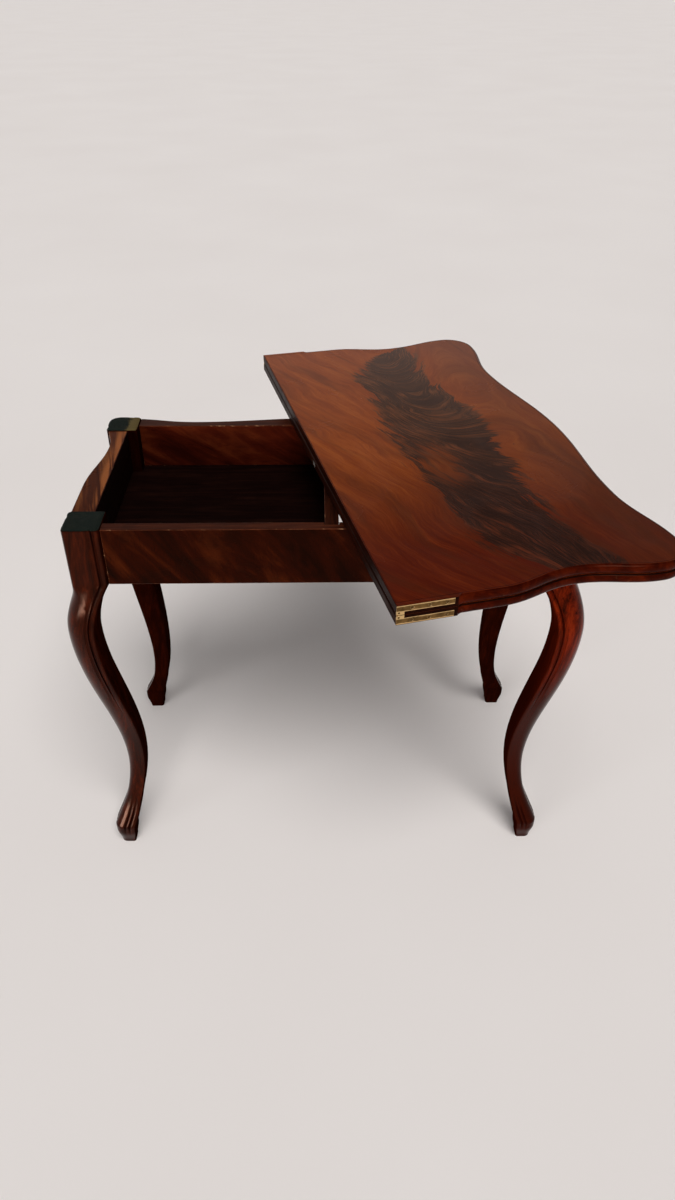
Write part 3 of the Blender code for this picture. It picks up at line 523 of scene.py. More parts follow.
def strap_material(name):
    """Makes the brass of the straps: dull along the middle, bright along both long borders, partly rubbed
    and partly painted highlight.
    """
    made, place = new_material(name)
    height = abs(axis_of(place, "Z") - TOP.translation.z)
    off_middle = abs(height - (STRAP_LOW + STRAP_HIGH) / 2)
    patches = noise(place, 0.008, 4.0, 0.5)
    share = off_middle / ((STRAP_HIGH - STRAP_LOW) / 2) + (patches - 0.5) * 0.5
    # Bright borders: partly rubbed brass, partly painted highlight
    rubbed = smooth(share, 0.62, 0.88)
    colour = mix(rubbed, ramp(patches, (0.35, 0.65), DULL_STRAP), RUBBED_LIT_STRAP)
    rough = smooth(rubbed, 0.0, 1.0, 0.40, 0.24)
    finish_surface(colour, rough, bump(patches, 0.0001, 0.3), Metallic=1.0)
    return made


def floor_material(name):
    """Makes the plain pale floor, with a barely visible mottle."""
    made, place = new_material(name)
    cloud = noise(place, 0.9, 3.0)
    colour = ramp(cloud, (0.3, 0.7), ((0.865, 0.825, 0.812), (0.885, 0.848, 0.836)))
    finish_surface(colour, smooth(cloud, 0.3, 0.7, 0.85, 0.95), Specular_IOR_Level=0.1)
    return made


# The rails' outer faces are darkened as painted shade, as under the overhanging top
SHADED_FRAME_TONES = ((0.0042, 0.0007, 0.0002), (0.0140, 0.0016, 0.0003), (0.0400, 0.0064, 0.0012))
FRONT_TONES = ((0.022, 0.0027, 0.0012), (0.047, 0.0056, 0.0018), (0.090, 0.0150, 0.0044))
RAIL_TOP_TONES = ((0.022, 0.0046, 0.0018), (0.041, 0.0086, 0.0034), (0.070, 0.0170, 0.0064))
CROSS_TONES = ((0.010, 0.0022, 0.0010), (0.022, 0.0045, 0.0018), (0.040, 0.0090, 0.0032))
END_TONES = ((0.032, 0.0058, 0.0017), (0.070, 0.0150, 0.0040), (0.150, 0.0460, 0.0125))
LEG_TONES = ((0.0085, 0.0012, 0.0005), (0.020, 0.0024, 0.0007), (0.044, 0.0056, 0.0012))
# The back right leg's wood: redder, and also lighter as painted light on its knee
RED_LIT_LEG_TONES = ((0.019, 0.0018, 0.0005), (0.108, 0.0076, 0.0011), (0.178, 0.0150, 0.0022))
EDGE_TONES = ((0.015, 0.0012, 0.0003), (0.029, 0.0022, 0.0004), (0.054, 0.0052, 0.0009))
# Near-black tones of painted shade for the hinge edge, the strap ends and the gap
SHADED_EDGE_TONES = ((0.004, 0.0008, 0.0004), (0.008, 0.0014, 0.0006), (0.016, 0.0030, 0.0010))
PLAYING_TONES = ((0.080, 0.0100, 0.0022), (0.120, 0.0185, 0.0038), (0.165, 0.0320, 0.0070))
# Near-black tones of painted shade for the inside of the well, under the top
WELL_SHADE_TONES = ((0.003, 0.0010, 0.0009), (0.006, 0.0018, 0.0015), (0.012, 0.0038, 0.0024))
PEG_TONES = ((0.110, 0.052, 0.022), (0.200, 0.100, 0.042), (0.290, 0.160, 0.075))
LIGHT_LINE_IN = 0.006
LIGHT_LINE = TABLE_MIDDLE.x - HALF_LENGTH + END_RAIL_THICKNESS - LIGHT_LINE_IN
LEG_TILT = (0.1, 0.1, 0.0)

VENEER = veneer_material("flame_veneer")
EDGE_WOOD = wood_material("leaf_edge_mahogany", EDGE_TONES, ALONG_X, (0.05, 0.030), 0.18, wear=0.03,
                          fineness=0.1, turned=TOP)
SHADED_EDGE_WOOD = wood_material("shaded_edge_mahogany", SHADED_EDGE_TONES, ALONG_X, (0.14, 0.006), 0.38,
                               shine=0.028, turned=TOP)
PLAYING_WOOD = wood_material("playing_mahogany", PLAYING_TONES, ALONG_X, (0.30, 0.022), 0.30,
                             (0.0, 0.0, 0.12), shine=0.06, mottled=0.15, turned=TOP)
LEG_WOOD = wood_material("leg_mahogany", LEG_TONES, ALONG_Z, (0.16, 0.013), 0.13, LEG_TILT, carved=True,
                         shine=0.14)
RED_LIT_LEG_WOOD = wood_material("red_lit_leg_mahogany", RED_LIT_LEG_TONES, ALONG_Z, (0.16, 0.013), 0.11, LEG_TILT,
                             carved=True, shine=0.08, mottled=0.20, shade_below=(0.34, 0.53),
                             inside_shade=0.85, groove_shading=0.55)
# Rail faces in painted shade
RAIL_WOOD, SIDE_RAIL_WOOD = [
    wood_material(name, SHADED_FRAME_TONES, ALONG_Z, (0.24, 0.050), 0.24, tilt, swirl=0.9, fineness=0.14)
    for name, tilt in (("rail_mahogany", (0.0, -0.62, 0.0)), ("side_rail_mahogany", (0.62, 0.0, 0.0)))]
FRONT_RAIL_WOOD = wood_material("front_rail_mahogany", FRONT_TONES, ALONG_X, (0.16, 0.040), 0.35,
                                (0.0, 0.5, 0.0), swirl=1.6, fineness=0.10)
RAIL_TOP_WOOD = wood_material("rail_top_mahogany", RAIL_TOP_TONES, ALONG_X, (0.20, 0.010), 0.34, shine=0.08)
END_RAIL_WOOD = wood_material("end_rail_mahogany", END_TONES, ALONG_Y, (0.20, 0.012), 0.32,
                              (0.0, 0.0, 0.20), shine=0.08, fineness=0.12, mottled=0.25,
                              light_line=LIGHT_LINE)
WORN_ARRIS = wood_material("worn_arris", RAIL_TOP_TONES, ALONG_X, (0.05, 0.006), 0.34, wear=0.55,
                           shine=0.08)
WELL_SHADE_WOOD = wood_material("inner_mahogany", WELL_SHADE_TONES, ALONG_X, (0.14, 0.010), 0.60, shine=0.03)
CROSS_WOOD = wood_material("cross_mahogany", CROSS_TONES, ALONG_Y, (0.14, 0.010), 0.45)
PEG_WOOD = wood_material("peg_hardwood", PEG_TONES, ALONG_Z, (0.03, 0.003), 0.5, shine=0.12)
BRASS = metal_material("aged_brass", (0.24, 0.135, 0.046), (0.065, 0.036, 0.014), 0.30, 0.016)
STRAP_BRASS = strap_material("strap_brass")
# Eased brass edges, partly rubbed and partly painted highlight
RUBBED_LIT_BRASS = metal_material("rubbed_lit_brass", (0.86, 0.60, 0.31), (0.56, 0.35, 0.15), 0.24)
IRON = metal_material("dark_iron", (0.085, 0.075, 0.068), (0.035, 0.022, 0.016), 0.50)
STEEL = metal_material("grey_steel", (0.40, 0.39, 0.37), (0.20, 0.19, 0.17), 0.50, 0.004)
FLOOR = floor_material("pale_floor")


# Shape helpers

def add_object(name, data):
    made = bpy.data.objects.new(name, data)
    bpy.context.scene.collection.objects.link(made)
    return made


def add_piece(kind, name, mesh, materials, body, matrix=None):
    """Adds a piece in the place of a node, with its materials, and lets it ride a body."""
    piece = add_object(kind + "_" + name, mesh)
    if matrix is not None:
        piece.matrix_world = matrix
    for material in materials:
        mesh.materials.append(material)
    bpy.context.view_layer.update()
    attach(piece, body)
    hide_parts(name)
    return piece


def to_mesh(shape, name):
    """Turns an edited shape into a smoothly shaded mesh with its faces pointing out."""
    bmesh.ops.recalc_face_normals(shape, faces=shape.faces)
    if shape.calc_volume(signed=True) < 0.0:
        bmesh.ops.reverse_faces(shape, faces=shape.faces)
    mesh = bpy.data.meshes.new(name)
    shape.to_mesh(mesh)
    shape.free()
    mesh.shade_smooth()
    mesh.set_sharp_from_angle(angle=SMOOTH_ANGLE)
    return mesh


def loft_shape(rings):
    """Joins rings of as many points each and closes both ends."""
    shape = bmesh.new()
    loops = [[shape.verts.new(point) for point in ring] for ring in rings]
    count = len(rings[0])
    for lower, upper in zip(loops, loops[1:]):
        for here in range(count):
            after = (here + 1) % count
            shape.faces.new((lower[here], lower[after], upper[after], upper[here]))
    shape.faces.new(reversed(loops[0]))
    shape.faces.new(loops[-1])
    return shape


def box_shape(low, high):
    low = Vector(low)
    high = Vector(high)
    stretch = Matrix.Diagonal((*(high - low), 1.0))
    shape = bmesh.new()
    bmesh.ops.create_cube(shape, size=1.0, matrix=Matrix.Translation((low + high) / 2) @ stretch)
    return shape


def rod_shape(radius, low, high, steps=32):
    """Makes an upright rod from its two end middles."""
    low = Vector(low)
    high = Vector(high)
    shape = bmesh.new()
    bmesh.ops.create_cone(shape, cap_ends=True, segments=steps, radius1=radius, radius2=radius,
                          depth=high.z - low.z, matrix=Matrix.Translation((low + high) / 2))
    return shape


def cut(mesh, tools):
    """Cuts shapes out of a mesh, and gives the mesh that is left, without materials."""
    block = add_object("block", mesh)
    cutters = []
    for shape in tools:
        cutter = add_object("cutter", to_mesh(shape, "cutter"))
        boolean = block.modifiers.new("cut", "BOOLEAN")
        boolean.object = cutter
        cutters.append(cutter)
    evaluated = block.evaluated_get(bpy.context.evaluated_depsgraph_get())
    left = bpy.data.meshes.new_from_object(evaluated)
    for spare in [block] + cutters:
        bpy.data.objects.remove(spare, do_unlink=True)
    left.materials.clear()
    left.shade_smooth()
    left.set_sharp_from_angle(angle=SMOOTH_ANGLE)
    return left


def even_shading(piece):
    normals = piece.modifiers.new("normals", "WEIGHTED_NORMAL")
    normals.keep_sharp = True


def add_bevel(piece, width, material_index=-1, segments=2):
    """Eases the sharp edges of a piece, and evens out its shading."""
    bevel = piece.modifiers.new("arris", "BEVEL")
    bevel.width = width
    bevel.segments = segments
    bevel.limit_method = "ANGLE"
    bevel.angle_limit = BEVEL_ANGLE
    bevel.material = material_index
    even_shading(piece)


def dress_node(name, material, width, rubbed=None):
    """Gives a part of the frame its material and eased edges, which may be rubbed, on brass also with a
    painted highlight.
    """
    node = NODES[name]
    node.data.materials.clear()
    node.data.materials.append(material)
    if rubbed is not None:
        node.data.materials.append(rubbed)
    weld = node.modifiers.new("weld", "WELD")
    weld.merge_threshold = WELD_DISTANCE
    add_bevel(node, width, 1 if rubbed is not None else -1)


def span(name, matrix):
    """Gives a node's lowest and highest corner in another frame."""
    inverse = matrix.inverted()
    points = [inverse @ vertex.co for vertex in NODES[name].data.vertices]
    low = Vector([min(point[axis] for point in points) for axis in range(3)])
    high = Vector([max(point[axis] for point in points) for axis in range(3)])
    return low, high


def grown_box(name, matrix, low_past, high_past):
    """Makes a box round a node, grown by its own amount at each side."""
    low, high = span(name, matrix)
    return box_shape(low - Vector(low_past), high + Vector(high_past))


def clamp(share):
    return min(1.0, max(0.0, share))


def ease(share):
    share = clamp(share)
    return share * share * (3.0 - 2.0 * share)


def slow_end(share):
    return 1.0 - (1.0 - share) ** 2


def middle_of(points):
    return sum(points, Vector((0.0, 0.0))) / len(points)


def serpentine(half_length, depth, straight, end_dip, end_dip_at, corner, front_dip, front_dip_at):
    """Gives the right half of a serpentine outline, from the end's straight to the front's middle."""
    knots = [
        ((half_length, straight), (0.0, 1.0)),
        ((half_length - end_dip, end_dip_at), (0.0, 1.0)),
        ((half_length, depth - corner), (0.0, 1.0)),
        ((half_length - corner, depth), (-1.0, 0.0)),
        ((front_dip_at, depth - front_dip), (-1.0, 0.0)),
        ((0.0, depth), (-1.0, 0.0)),
    ]
    points = []
    for (start, leave), (end, arrive) in zip(knots, knots[1:]):
        start = Vector(start)
        end = Vector(end)
        reach = CURVE_PULL * (end - start).length
        points += interpolate_bezier(start, start + reach * Vector(leave), end - reach * Vector(arrive),
                                     end, CURVE_STEPS + 1)[:-1]
    return [(point.x, point.y) for point in points] + [(0.0, depth)]


def mirrored(half):
    """Adds the left half to the right half of an outline that ends on the middle line."""
    return half + [(-x, y) for x, y in reversed(half[:-1])]


def curve_between(points, axis, low, high):
    """Keeps the stretch of a run of points between two limits along X or Y, cut at the limits."""
    kept = []
    for start, end in zip(points, points[1:]):
        for limit in (low, high):
            if (start[axis] - limit) * (end[axis] - limit) < 0.0:
                share = (limit - start[axis]) / (end[axis] - start[axis])
                kept.append(tuple(a + share * (b - a) for a, b in zip(start, end)))
        if low <= end[axis] <= high:
            kept.append(end)
    return kept


# Leaves

LEAF_CURVE = mirrored([(HALF_TOP, 0.0), (HALF_TOP, SQUARE_END), (HALF_TOP, SQUARE_END + SQUARE_END_FADE)]
                      + serpentine(HALF_TOP, LEAF_DEPTH, LEAF_END_STRAIGHT, LEAF_END_DIP, LEAF_END_DIP_AT,
                                   LEAF_CORNER, LEAF_FRONT_DIP, LEAF_FRONT_DIP_AT))
LEAF_WOODS = [VENEER, EDGE_WOOD, SHADED_EDGE_WOOD, PLAYING_WOOD]
FACING_IN = -0.95
FACING_OUT = 0.97
FACING_SIDE = 0.6


def leaf_ring(edge_inset, hinge_inset, level, hinge_level, square):
    """Gives one section of a leaf, its strap ends left square or set in with the rest."""
    count = len(LEAF_CURVE)
    ring = []
    for here, point in enumerate(LEAF_CURVE):
        point = Vector(point)
        corner = here in (0, count - 1)
        strap = corner or here in (1, count - 2)
        before = Vector(LEAF_CURVE[here - 1])
        after = Vector(LEAF_CURVE[(here + 1) % count])
        inward = (after - before).normalized().orthogonal()
        if strap:
            inward = Vector((-copysign(1.0, point.x), 0.0))
        if not (strap and square):
            point = point + edge_inset * inward
        if corner:
            point = point + Vector((0.0, hinge_inset))
        ring.append((point.x, point.y, hinge_level if corner else level))
    return ring


def leaf_mesh(name, sign):
    """Makes a leaf: rounded edges, square strap ends, and a fine line let in round its outer face."""
    rings = []
    for outer in (False, True):
        hinge_round = LEAF_ARRIS_ROUND if outer else PIN_INSET
        for step in range(EDGE_STEPS + 1):
            angle = pi / 2 * (EDGE_STEPS - step if outer else step) / EDGE_STEPS
            set_in = 1.0 - sin(angle)
            rise = 1.0 - cos(angle)
            levels = [value * rise for value in (LEAF_EDGE_ROUND, hinge_round)]
            if outer:
                levels = [LEAF_THICKNESS - level for level in levels]
            rings.append(leaf_ring(LEAF_EDGE_ROUND * set_in, hinge_round * set_in, *levels, True))
    for shift, drop in ((-LINE_HALF, 0.0), (0.0, LINE_DEPTH), (LINE_HALF, 0.0)):
        level = LEAF_THICKNESS - drop
        rings.append(leaf_ring(EDGE_LINE_IN + shift, HINGE_LINE_IN + shift, level, level, False))
    rings = [[(x, y, sign * (LEAF_HALF_GAP + z)) for x, y, z in ring] for ring in rings]
    return to_mesh(loft_shape(rings), name)


def strap_recesses(sign):
    """Gives the shapes that let the straps and links into both ends of a leaf."""
    strap_depth = STRAP_THICKNESS + GAP
    strap_top = STRAP_HIGH + GAP
    recesses = (
        (strap_depth, (STRAP_HEAD_WIDTH, STRAP_LENGTH + GAP), (STRAP_LOW - GAP, strap_top)),
        (strap_depth, (-PAST, STRAP_HEAD_WIDTH + GAP), (-PAST, strap_top)),
        (LINK_POCKET_DEPTH, (-PAST, LINK_POCKET), (-PAST, LINK_POCKET)),
    )
    shapes = []
    for side in (1, -1):
        for depth, along, outward in recesses:
            xs = sorted((side * (HALF_TOP - depth), side * (HALF_TOP + PAST)))
            zs = sorted(sign * (LEAF_HALF_GAP + level) for level in outward)
            shapes.append(box_shape((xs[0], along[0], zs[0]), (xs[1], along[1], zs[1])))
    return shapes


def lower_recesses():
    """Gives the shapes that let the catch plate, the pivot plate and the stop peg into the lower leaf."""
    low, high = span("stop_peg", TOP)
    middle = (low + high) / 2
    return [grown_box("catch_plate", TOP, (GAP, PAST, GAP), (GAP, GAP, GAP)),
            grown_box("pivot_plate", TOP, (GAP, GAP, PAST), (GAP, GAP, GAP)),
            rod_shape((high.x - low.x) / 2 + GAP, (middle.x, middle.y, low.z),
                      (middle.x, middle.y, high.z + GAP))]


def leaf_wood(face, sign):
    """Chooses the wood of a leaf's face: painted shade at the hinge edge, round the straps and beside the
    gap.
    """
    outward = face.normal.z * sign
    if outward < FACING_IN:
        return PLAYING_WOOD
    strap_end = abs(face.normal.x) > FACING_SIDE and face.center.y < SQUARE_END
    if strap_end or face.normal.y < -FACING_SIDE or abs(face.center.z) < SHADED_GAP:
        return SHADED_EDGE_WOOD
    return VENEER if outward > FACING_OUT else EDGE_WOOD


def make_leaves():
    """Makes both leaves in the top's own frame, and sets them where the folded top stands."""
    for name, sign, body in (("upper_leaf", 1, "upper_leaf"), ("lower_leaf", -1, "swivel_top")):
        tools = strap_recesses(sign)
        if sign < 0:
            tools += lower_recesses()
        mesh = cut(leaf_mesh(name, sign), tools)
        for face in mesh.polygons:
            face.material_index = LEAF_WOODS.index(leaf_wood(face, sign))
        mesh.transform(TOP)
        even_shading(add_piece("moulded", name, mesh, LEAF_WOODS, body))


# Frame

FRAME_CURVE = [(x, y - HALF_DEPTH) for x, y in mirrored(serpentine(
    HALF_LENGTH, FRAME_DEPTH, FRAME_END_STRAIGHT, FRAME_END_DIP, FRAME_END_DIP_AT,
    FRAME_CORNER, FRAME_FRONT_DIP, FRAME_FRONT_DIP_AT))]
FRONT_CURVE = [(x, y) for x, y in FRAME_CURVE if y > HALF_DEPTH - 2 * FRAME_FRONT_DIP]
END_CURVE = [(HALF_LENGTH, -HALF_DEPTH)] + [(x, y) for x, y in FRAME_CURVE if x > POST_INNER_X]
FACING_UP = 0.9
FACING_WELL = 0.5

# Each rail's inward direction, the woods of its face, top and inside, and what is housed in it
RAILS = {
    "back_rail": ((0.0, 1.0, 0.0), (RAIL_WOOD, RAIL_TOP_WOOD, WELL_SHADE_WOOD),
                  ("cross_rail", "pivot_rail", "well_bottom")),
    "front_rail": ((0.0, -1.0, 0.0), (RAIL_WOOD, RAIL_TOP_WOOD, FRONT_RAIL_WOOD),
                   ("cross_rail", "pivot_rail", "well_bottom")),
    "left_rail": ((1.0, 0.0, 0.0), (SIDE_RAIL_WOOD, END_RAIL_WOOD, WELL_SHADE_WOOD), ("well_bottom",)),
    "right_rail": ((-1.0, 0.0, 0.0), (SIDE_RAIL_WOOD, END_RAIL_WOOD, WELL_SHADE_WOOD), ()),
}


def rail_outlines():
    """Gives the plan outline of each rail between its posts, about the frame's middle."""
    shoulder_x = POST_INNER_X - GAP
    shoulder_y = POST_INNER_Y - GAP
    back_outer = -HALF_DEPTH + RAIL_SET_BACK
    back_inner = -HALF_DEPTH + BACK_RAIL_THICKNESS
    front_inner = HALF_DEPTH - FRONT_RAIL_THICKNESS
    end_inner = HALF_LENGTH - END_RAIL_THICKNESS
    back = [(-shoulder_x, back_outer), (shoulder_x, back_outer),
            (shoulder_x, back_inner), (-shoulder_x, back_inner)]
    front = [(x, y - RAIL_SET_BACK) for x, y in curve_between(FRONT_CURVE, 0, -shoulder_x, shoulder_x)]
    front += [(-shoulder_x, front_inner), (shoulder_x, front_inner)]
    right = [(x - RAIL_SET_BACK, y) for x, y in curve_between(END_CURVE, 1, -shoulder_y, shoulder_y)]
    right += [(end_inner, shoulder_y), (end_inner, -shoulder_y)]
    left = [(-x, y) for x, y in reversed(right)]
    return {"back_rail": back, "front_rail": front, "left_rail": left, "right_rail": right}


def housing(name):
    """Gives the shape that houses a board in a rail, open where the board runs out of it."""
    open_bottom = PAST if name == "cross_rail" else GAP
    open_top = GAP if name == "well_bottom" else PAST
    return grown_box(name, Matrix.Identity(4), (GAP, GAP, open_bottom), (GAP, GAP, open_top))


def rail_mesh(name, outline, housed):
    """Makes a rail from its plan outline, with the housings cut in it."""
    rings = [[(x + TABLE_MIDDLE.x, y + TABLE_MIDDLE.y, level) for x, y in outline]
             for level in (RAIL_BOTTOM, FRAME_TOP)]
    mesh = to_mesh(loft_shape(rings), name)
    return cut(mesh, [housing(board) for board in housed]) if housed else mesh


def make_rails():
    for name, outline in rail_outlines().items():
        inward, (wood, top, inside), housed = RAILS[name]
        mesh = rail_mesh(name, outline, housed)
        woods = [wood, WORN_ARRIS, top, inside]
        for face in mesh.polygons:
            if face.normal.z > FACING_UP:
                face.material_index = woods.index(top)
            elif face.normal.dot(Vector(inward)) > FACING_WELL:
                face.material_index = woods.index(inside)
        piece = add_piece("polished", name, mesh, woods, "base")
        add_bevel(piece, ARRIS, woods.index(WORN_ARRIS), 3)


# Legs

# Each corner's name, and its direction along X and Y from the table's middle
CORNERS = (("back_left", -1, -1), ("back_right", 1, -1), ("front_left", -1, 1), ("front_right", 1, 1))
OUTER, END_SIDE, INNER, RAIL_SIDE = range(4)

# Runs of (height, value, easing into it): a leg's sweep outward, half width, and outer round as its share
SWEEPS = [(0.0, SOLE_SWEEP, ease), (LIP_HEIGHT, LIP_SWEEP, ease), (TOE_HEIGHT, TOE_SWEEP, ease),
          (CALF_HEIGHT, CALF_SWEEP, slow_end), (KNEE_HEIGHT, KNEE_SWEEP, ease)]
HALVES = [(0.0, SOLE_HALF, ease), (LIP_HEIGHT, LIP_HALF, ease), (TOE_HEIGHT, TOE_HALF, ease),
          (ANKLE_HEIGHT, ANKLE_HALF, ease), (THIGH_HEIGHT, KNEE_HALF, ease)]
OUTER_ROUNDS = [(0.0, FOOT_OUTER_ROUND, ease), (ANKLE_HEIGHT, FOOT_OUTER_ROUND, ease),
                (THIGH_HEIGHT, KNEE_OUTER_ROUND, ease)]

# Carved lines: where each runs across a face from its inner edge, its half width, both as shares, its depth
ROLL_LINES = [(0.225, 0.042, 0.0024), (0.31, 0.120, 0.0012)]
FOOT_LINES = [(0.30, 0.085, 0.0024), (0.50, 0.075, 0.0020)]
ROLL_FADE_LOW = 0.32
ROLL_FADE_HIGH = 0.43
FOOT_FADE_LOW = 0.062
FOOT_FADE_HIGH = 0.108
GROOVE_END = 0.024
DEEPEST = 0.0026
INNER_FROM = 0.50
INNER_TO = -0.05
# How much painted shade the roll beside the first carved line gets
ROLL_SHADE = 0.6
POST_END_SHARE = 1.0 - 2 * ARRIS / POST_WIDTH


def station(stops, height):
    """Reads a run of stops at a height, and keeps the last value above."""
    for (low, start, _), (high, end, easing) in zip(stops, stops[1:]):
        if height <= high:
            return start + (end - start) * easing((height - low) / (high - low))
    return stops[-1][1]


def roll_strength(height):
    return ease((height - ROLL_FADE_LOW) / (ROLL_FADE_HIGH - ROLL_FADE_LOW))


def carving(height, share):
    """Gives how deep the carving is at a height and a share across a face."""
    foot = ease((FOOT_FADE_HIGH - height) / (FOOT_FADE_HIGH - FOOT_FADE_LOW))
    foot *= ease((height - GROOVE_END) / (TOE_HEIGHT - GROOVE_END))
    depth = 0.0
    for strength, lines in ((roll_strength(height), ROLL_LINES), (foot, FOOT_LINES)):
        for middle, half, deep in lines:
            off = min(1.0, abs(share - middle) / half)
            depth += strength * deep * (0.5 + 0.5 * cos(pi * off))
    return depth


def leg_corners(height, front, soft):
    """Gives the corners and their rounds: outer, end side, inner, rail side, as for the front right leg.

    A soft leg's knee is set inward, and its shoulder runs into the post more gently.
    """
    full = slow_end(clamp((height - ANKLE_HEIGHT) / (KNEE_HEIGHT - ANKLE_HEIGHT)))
    sweep = station(SWEEPS, height) + full * (LEFT_KNEE_SHIFT if soft else RIGHT_KNEE_SHIFT)
    half = station(HALVES, height) + full * KNEE_FULLER
    rise = clamp((height - KNEE_HEIGHT) / (RAIL_BOTTOM - KNEE_HEIGHT))
    outer_blend = ease(rise ** SHOULDER_POWER) if soft else rise ** 2
    blends = [outer_blend, outer_blend, rise ** 2, rise ** 2]

    x = HALF_LENGTH - POST_WIDTH / 2 + sweep
    y = HALF_DEPTH - POST_WIDTH / 2 + sweep
    square = [(x + half, y + half), (x + half, y - half), (x - half, y - half), (x - half, y + half)]
    end_x = HALF_LENGTH
    front_y = HALF_DEPTH
    if front:
        end_x = curve_between(END_CURVE, 1, POST_INNER_Y, HALF_DEPTH)[0][0]
        front_y = curve_between(FRONT_CURVE, 0, POST_INNER_X, HALF_LENGTH)[-1][1]
    post = [(HALF_LENGTH, HALF_DEPTH), (end_x, POST_INNER_Y),
            (POST_INNER_X, POST_INNER_Y), (POST_INNER_X, front_y)]
    corners = [Vector(low).lerp(Vector(high), blend) for low, high, blend in zip(square, post, blends)]

    swept_rounds = [share * half for share in (station(OUTER_ROUNDS, height), LEG_SIDE_ROUND,
                                               LEG_INNER_ROUND, LEG_SIDE_ROUND)]
    post_rounds = [POST_FRONT_ROUND if front else POST_BACK_ROUND, ROLL_ROUND, POST_SIDE_ROUND, ROLL_ROUND]
    blends[OUTER] = blends[OUTER] ** OUTER_POWER
    rounds = [low + blend * (high - low) for low, high, blend in zip(swept_rounds, post_rounds, blends)]
    return corners, rounds


def leg_section(height, front, soft=False):
    """Gives a leg's section at a height as points, with how much painted shade its carving or its roll gets
    at each.
    """
    corners, rounds = leg_corners(height, front, soft)
    points = []
    hollows = []
    for here in (OUTER, END_SIDE, INNER, RAIL_SIDE):
        corner = corners[here]
        following = corners[(here + 1) % 4]
        before = (corners[here - 1] - corner).normalized()
        after = (following - corner).normalized()
        for step in range(CORNER_STEPS + 1):
            angle = pi / 2 * step / CORNER_STEPS
            points.append(corner + rounds[here] * ((1.0 - sin(angle)) * before
                                                   + (1.0 - cos(angle)) * after))
            hollows.append(0.0)
        carved = here in (OUTER, RAIL_SIDE)
        width = (following - corner).length
        start = rounds[here] / width
        end = 1.0 - rounds[(here + 1) % 4] / width
        steps = CARVED_STEPS if carved else PLAIN_STEPS
        outward = Vector((-after.y, after.x))
        for step in range(1, steps):
            share = start + (end - start) * step / steps
            from_side = 1.0 - share if here == OUTER else share
            depth = carving(height, from_side) if carved else 0.0
            points.append(corner + share * width * after - depth * outward)
            # The roll beside the first line gets painted shade, where it turns away from the light
            on_roll = carved and from_side < ROLL_LINES[0][0]
            hollows.append(max(depth / DEEPEST, ROLL_SHADE * roll_strength(height) if on_roll else 0.0))
    return points, hollows


def leg_heights():
    """Gives the levels of a leg's sections: close at the foot, wider above, few at the post."""
    heights = [0.0]
    while heights[-1] < RAIL_BOTTOM:
        spacing = FOOT_RING_SPACING if heights[-1] < FOOT_FADE_HIGH else RING_SPACING
        heights.append(heights[-1] + spacing)
    heights[-1] = RAIL_BOTTOM
    return heights + [RAIL_BOTTOM + RING_SPACING, FRAME_TOP - 2 * ARRIS, FRAME_TOP - ARRIS / 3, FRAME_TOP]


def in_corner(point, right, forward, height):
    """Puts a point of the front right corner in any corner of the table, at a height."""
    return (right * point.x + TABLE_MIDDLE.x, forward * point.y + TABLE_MIDDLE.y, height)


def set_values(mesh, name, values):
    """Gives each point of a mesh a value that its material reads by name."""
    mesh.attributes.new(name, "FLOAT", "POINT").data.foreach_set("value", values)


def make_legs():
    """Makes the legs, marking at each point the painted shade of its carving or roll and how far it faces
    inward, for their wood.
    """
    for corner, right, forward in CORNERS:
        name = "leg_" + corner
        rings = []
        hollow_values = []
        for height in leg_heights():
            points, hollows = leg_section(height, forward > 0, right < 0)
            if height == FRAME_TOP:
                middle = middle_of(points)
                points = [middle + POST_END_SHARE * (point - middle) for point in points]
            rings.append([in_corner(point, right, forward, height) for point in points])
            hollow_values += hollows
        mesh = to_mesh(loft_shape(rings), name)
        set_values(mesh, "hollow", hollow_values)
        # How far each point faces inward, for painted shade and a duller polish there
        facings = [(right * normal.vector.x + forward * normal.vector.y) / sqrt(2.0)
                   for normal in mesh.vertex_normals]
        set_values(mesh, "inner", [ease((INNER_FROM - facing) / (INNER_FROM - INNER_TO))
                                   for facing in facings])
        # The back right leg's redder wood also carries painted light
        wood = RED_LIT_LEG_WOOD if corner == "back_right" else LEG_WOOD
        add_piece("carved", name, mesh, [wood], "base")


# Felt

# Rings of a pad from under its middle over its edge to its top's middle: shares of outline and thickness
FELT_RINGS = ((0.45, 0.0), (0.985, 0.0), (1.0, 0.35), (0.995, 0.75), (0.97, 0.96), (0.80, 1.0),
              (0.55, 0.97), (0.30, 1.0), (0.10, 0.98))
FELT_EDGE_WOBBLE = 0.012
FELT_TOP_WOBBLE = 0.07
FELT_ROUGH_FROM = 0.5
# How far past its middle the front left pad is worn bare, as a share of its width
BARE_FROM = 0.17


def area_of(outline):
    """Gives the area inside a flat outline."""
    return abs(sum(a.x * b.y - b.x * a.y for a, b in zip(outline, outline[1:] + outline[:1]))) / 2


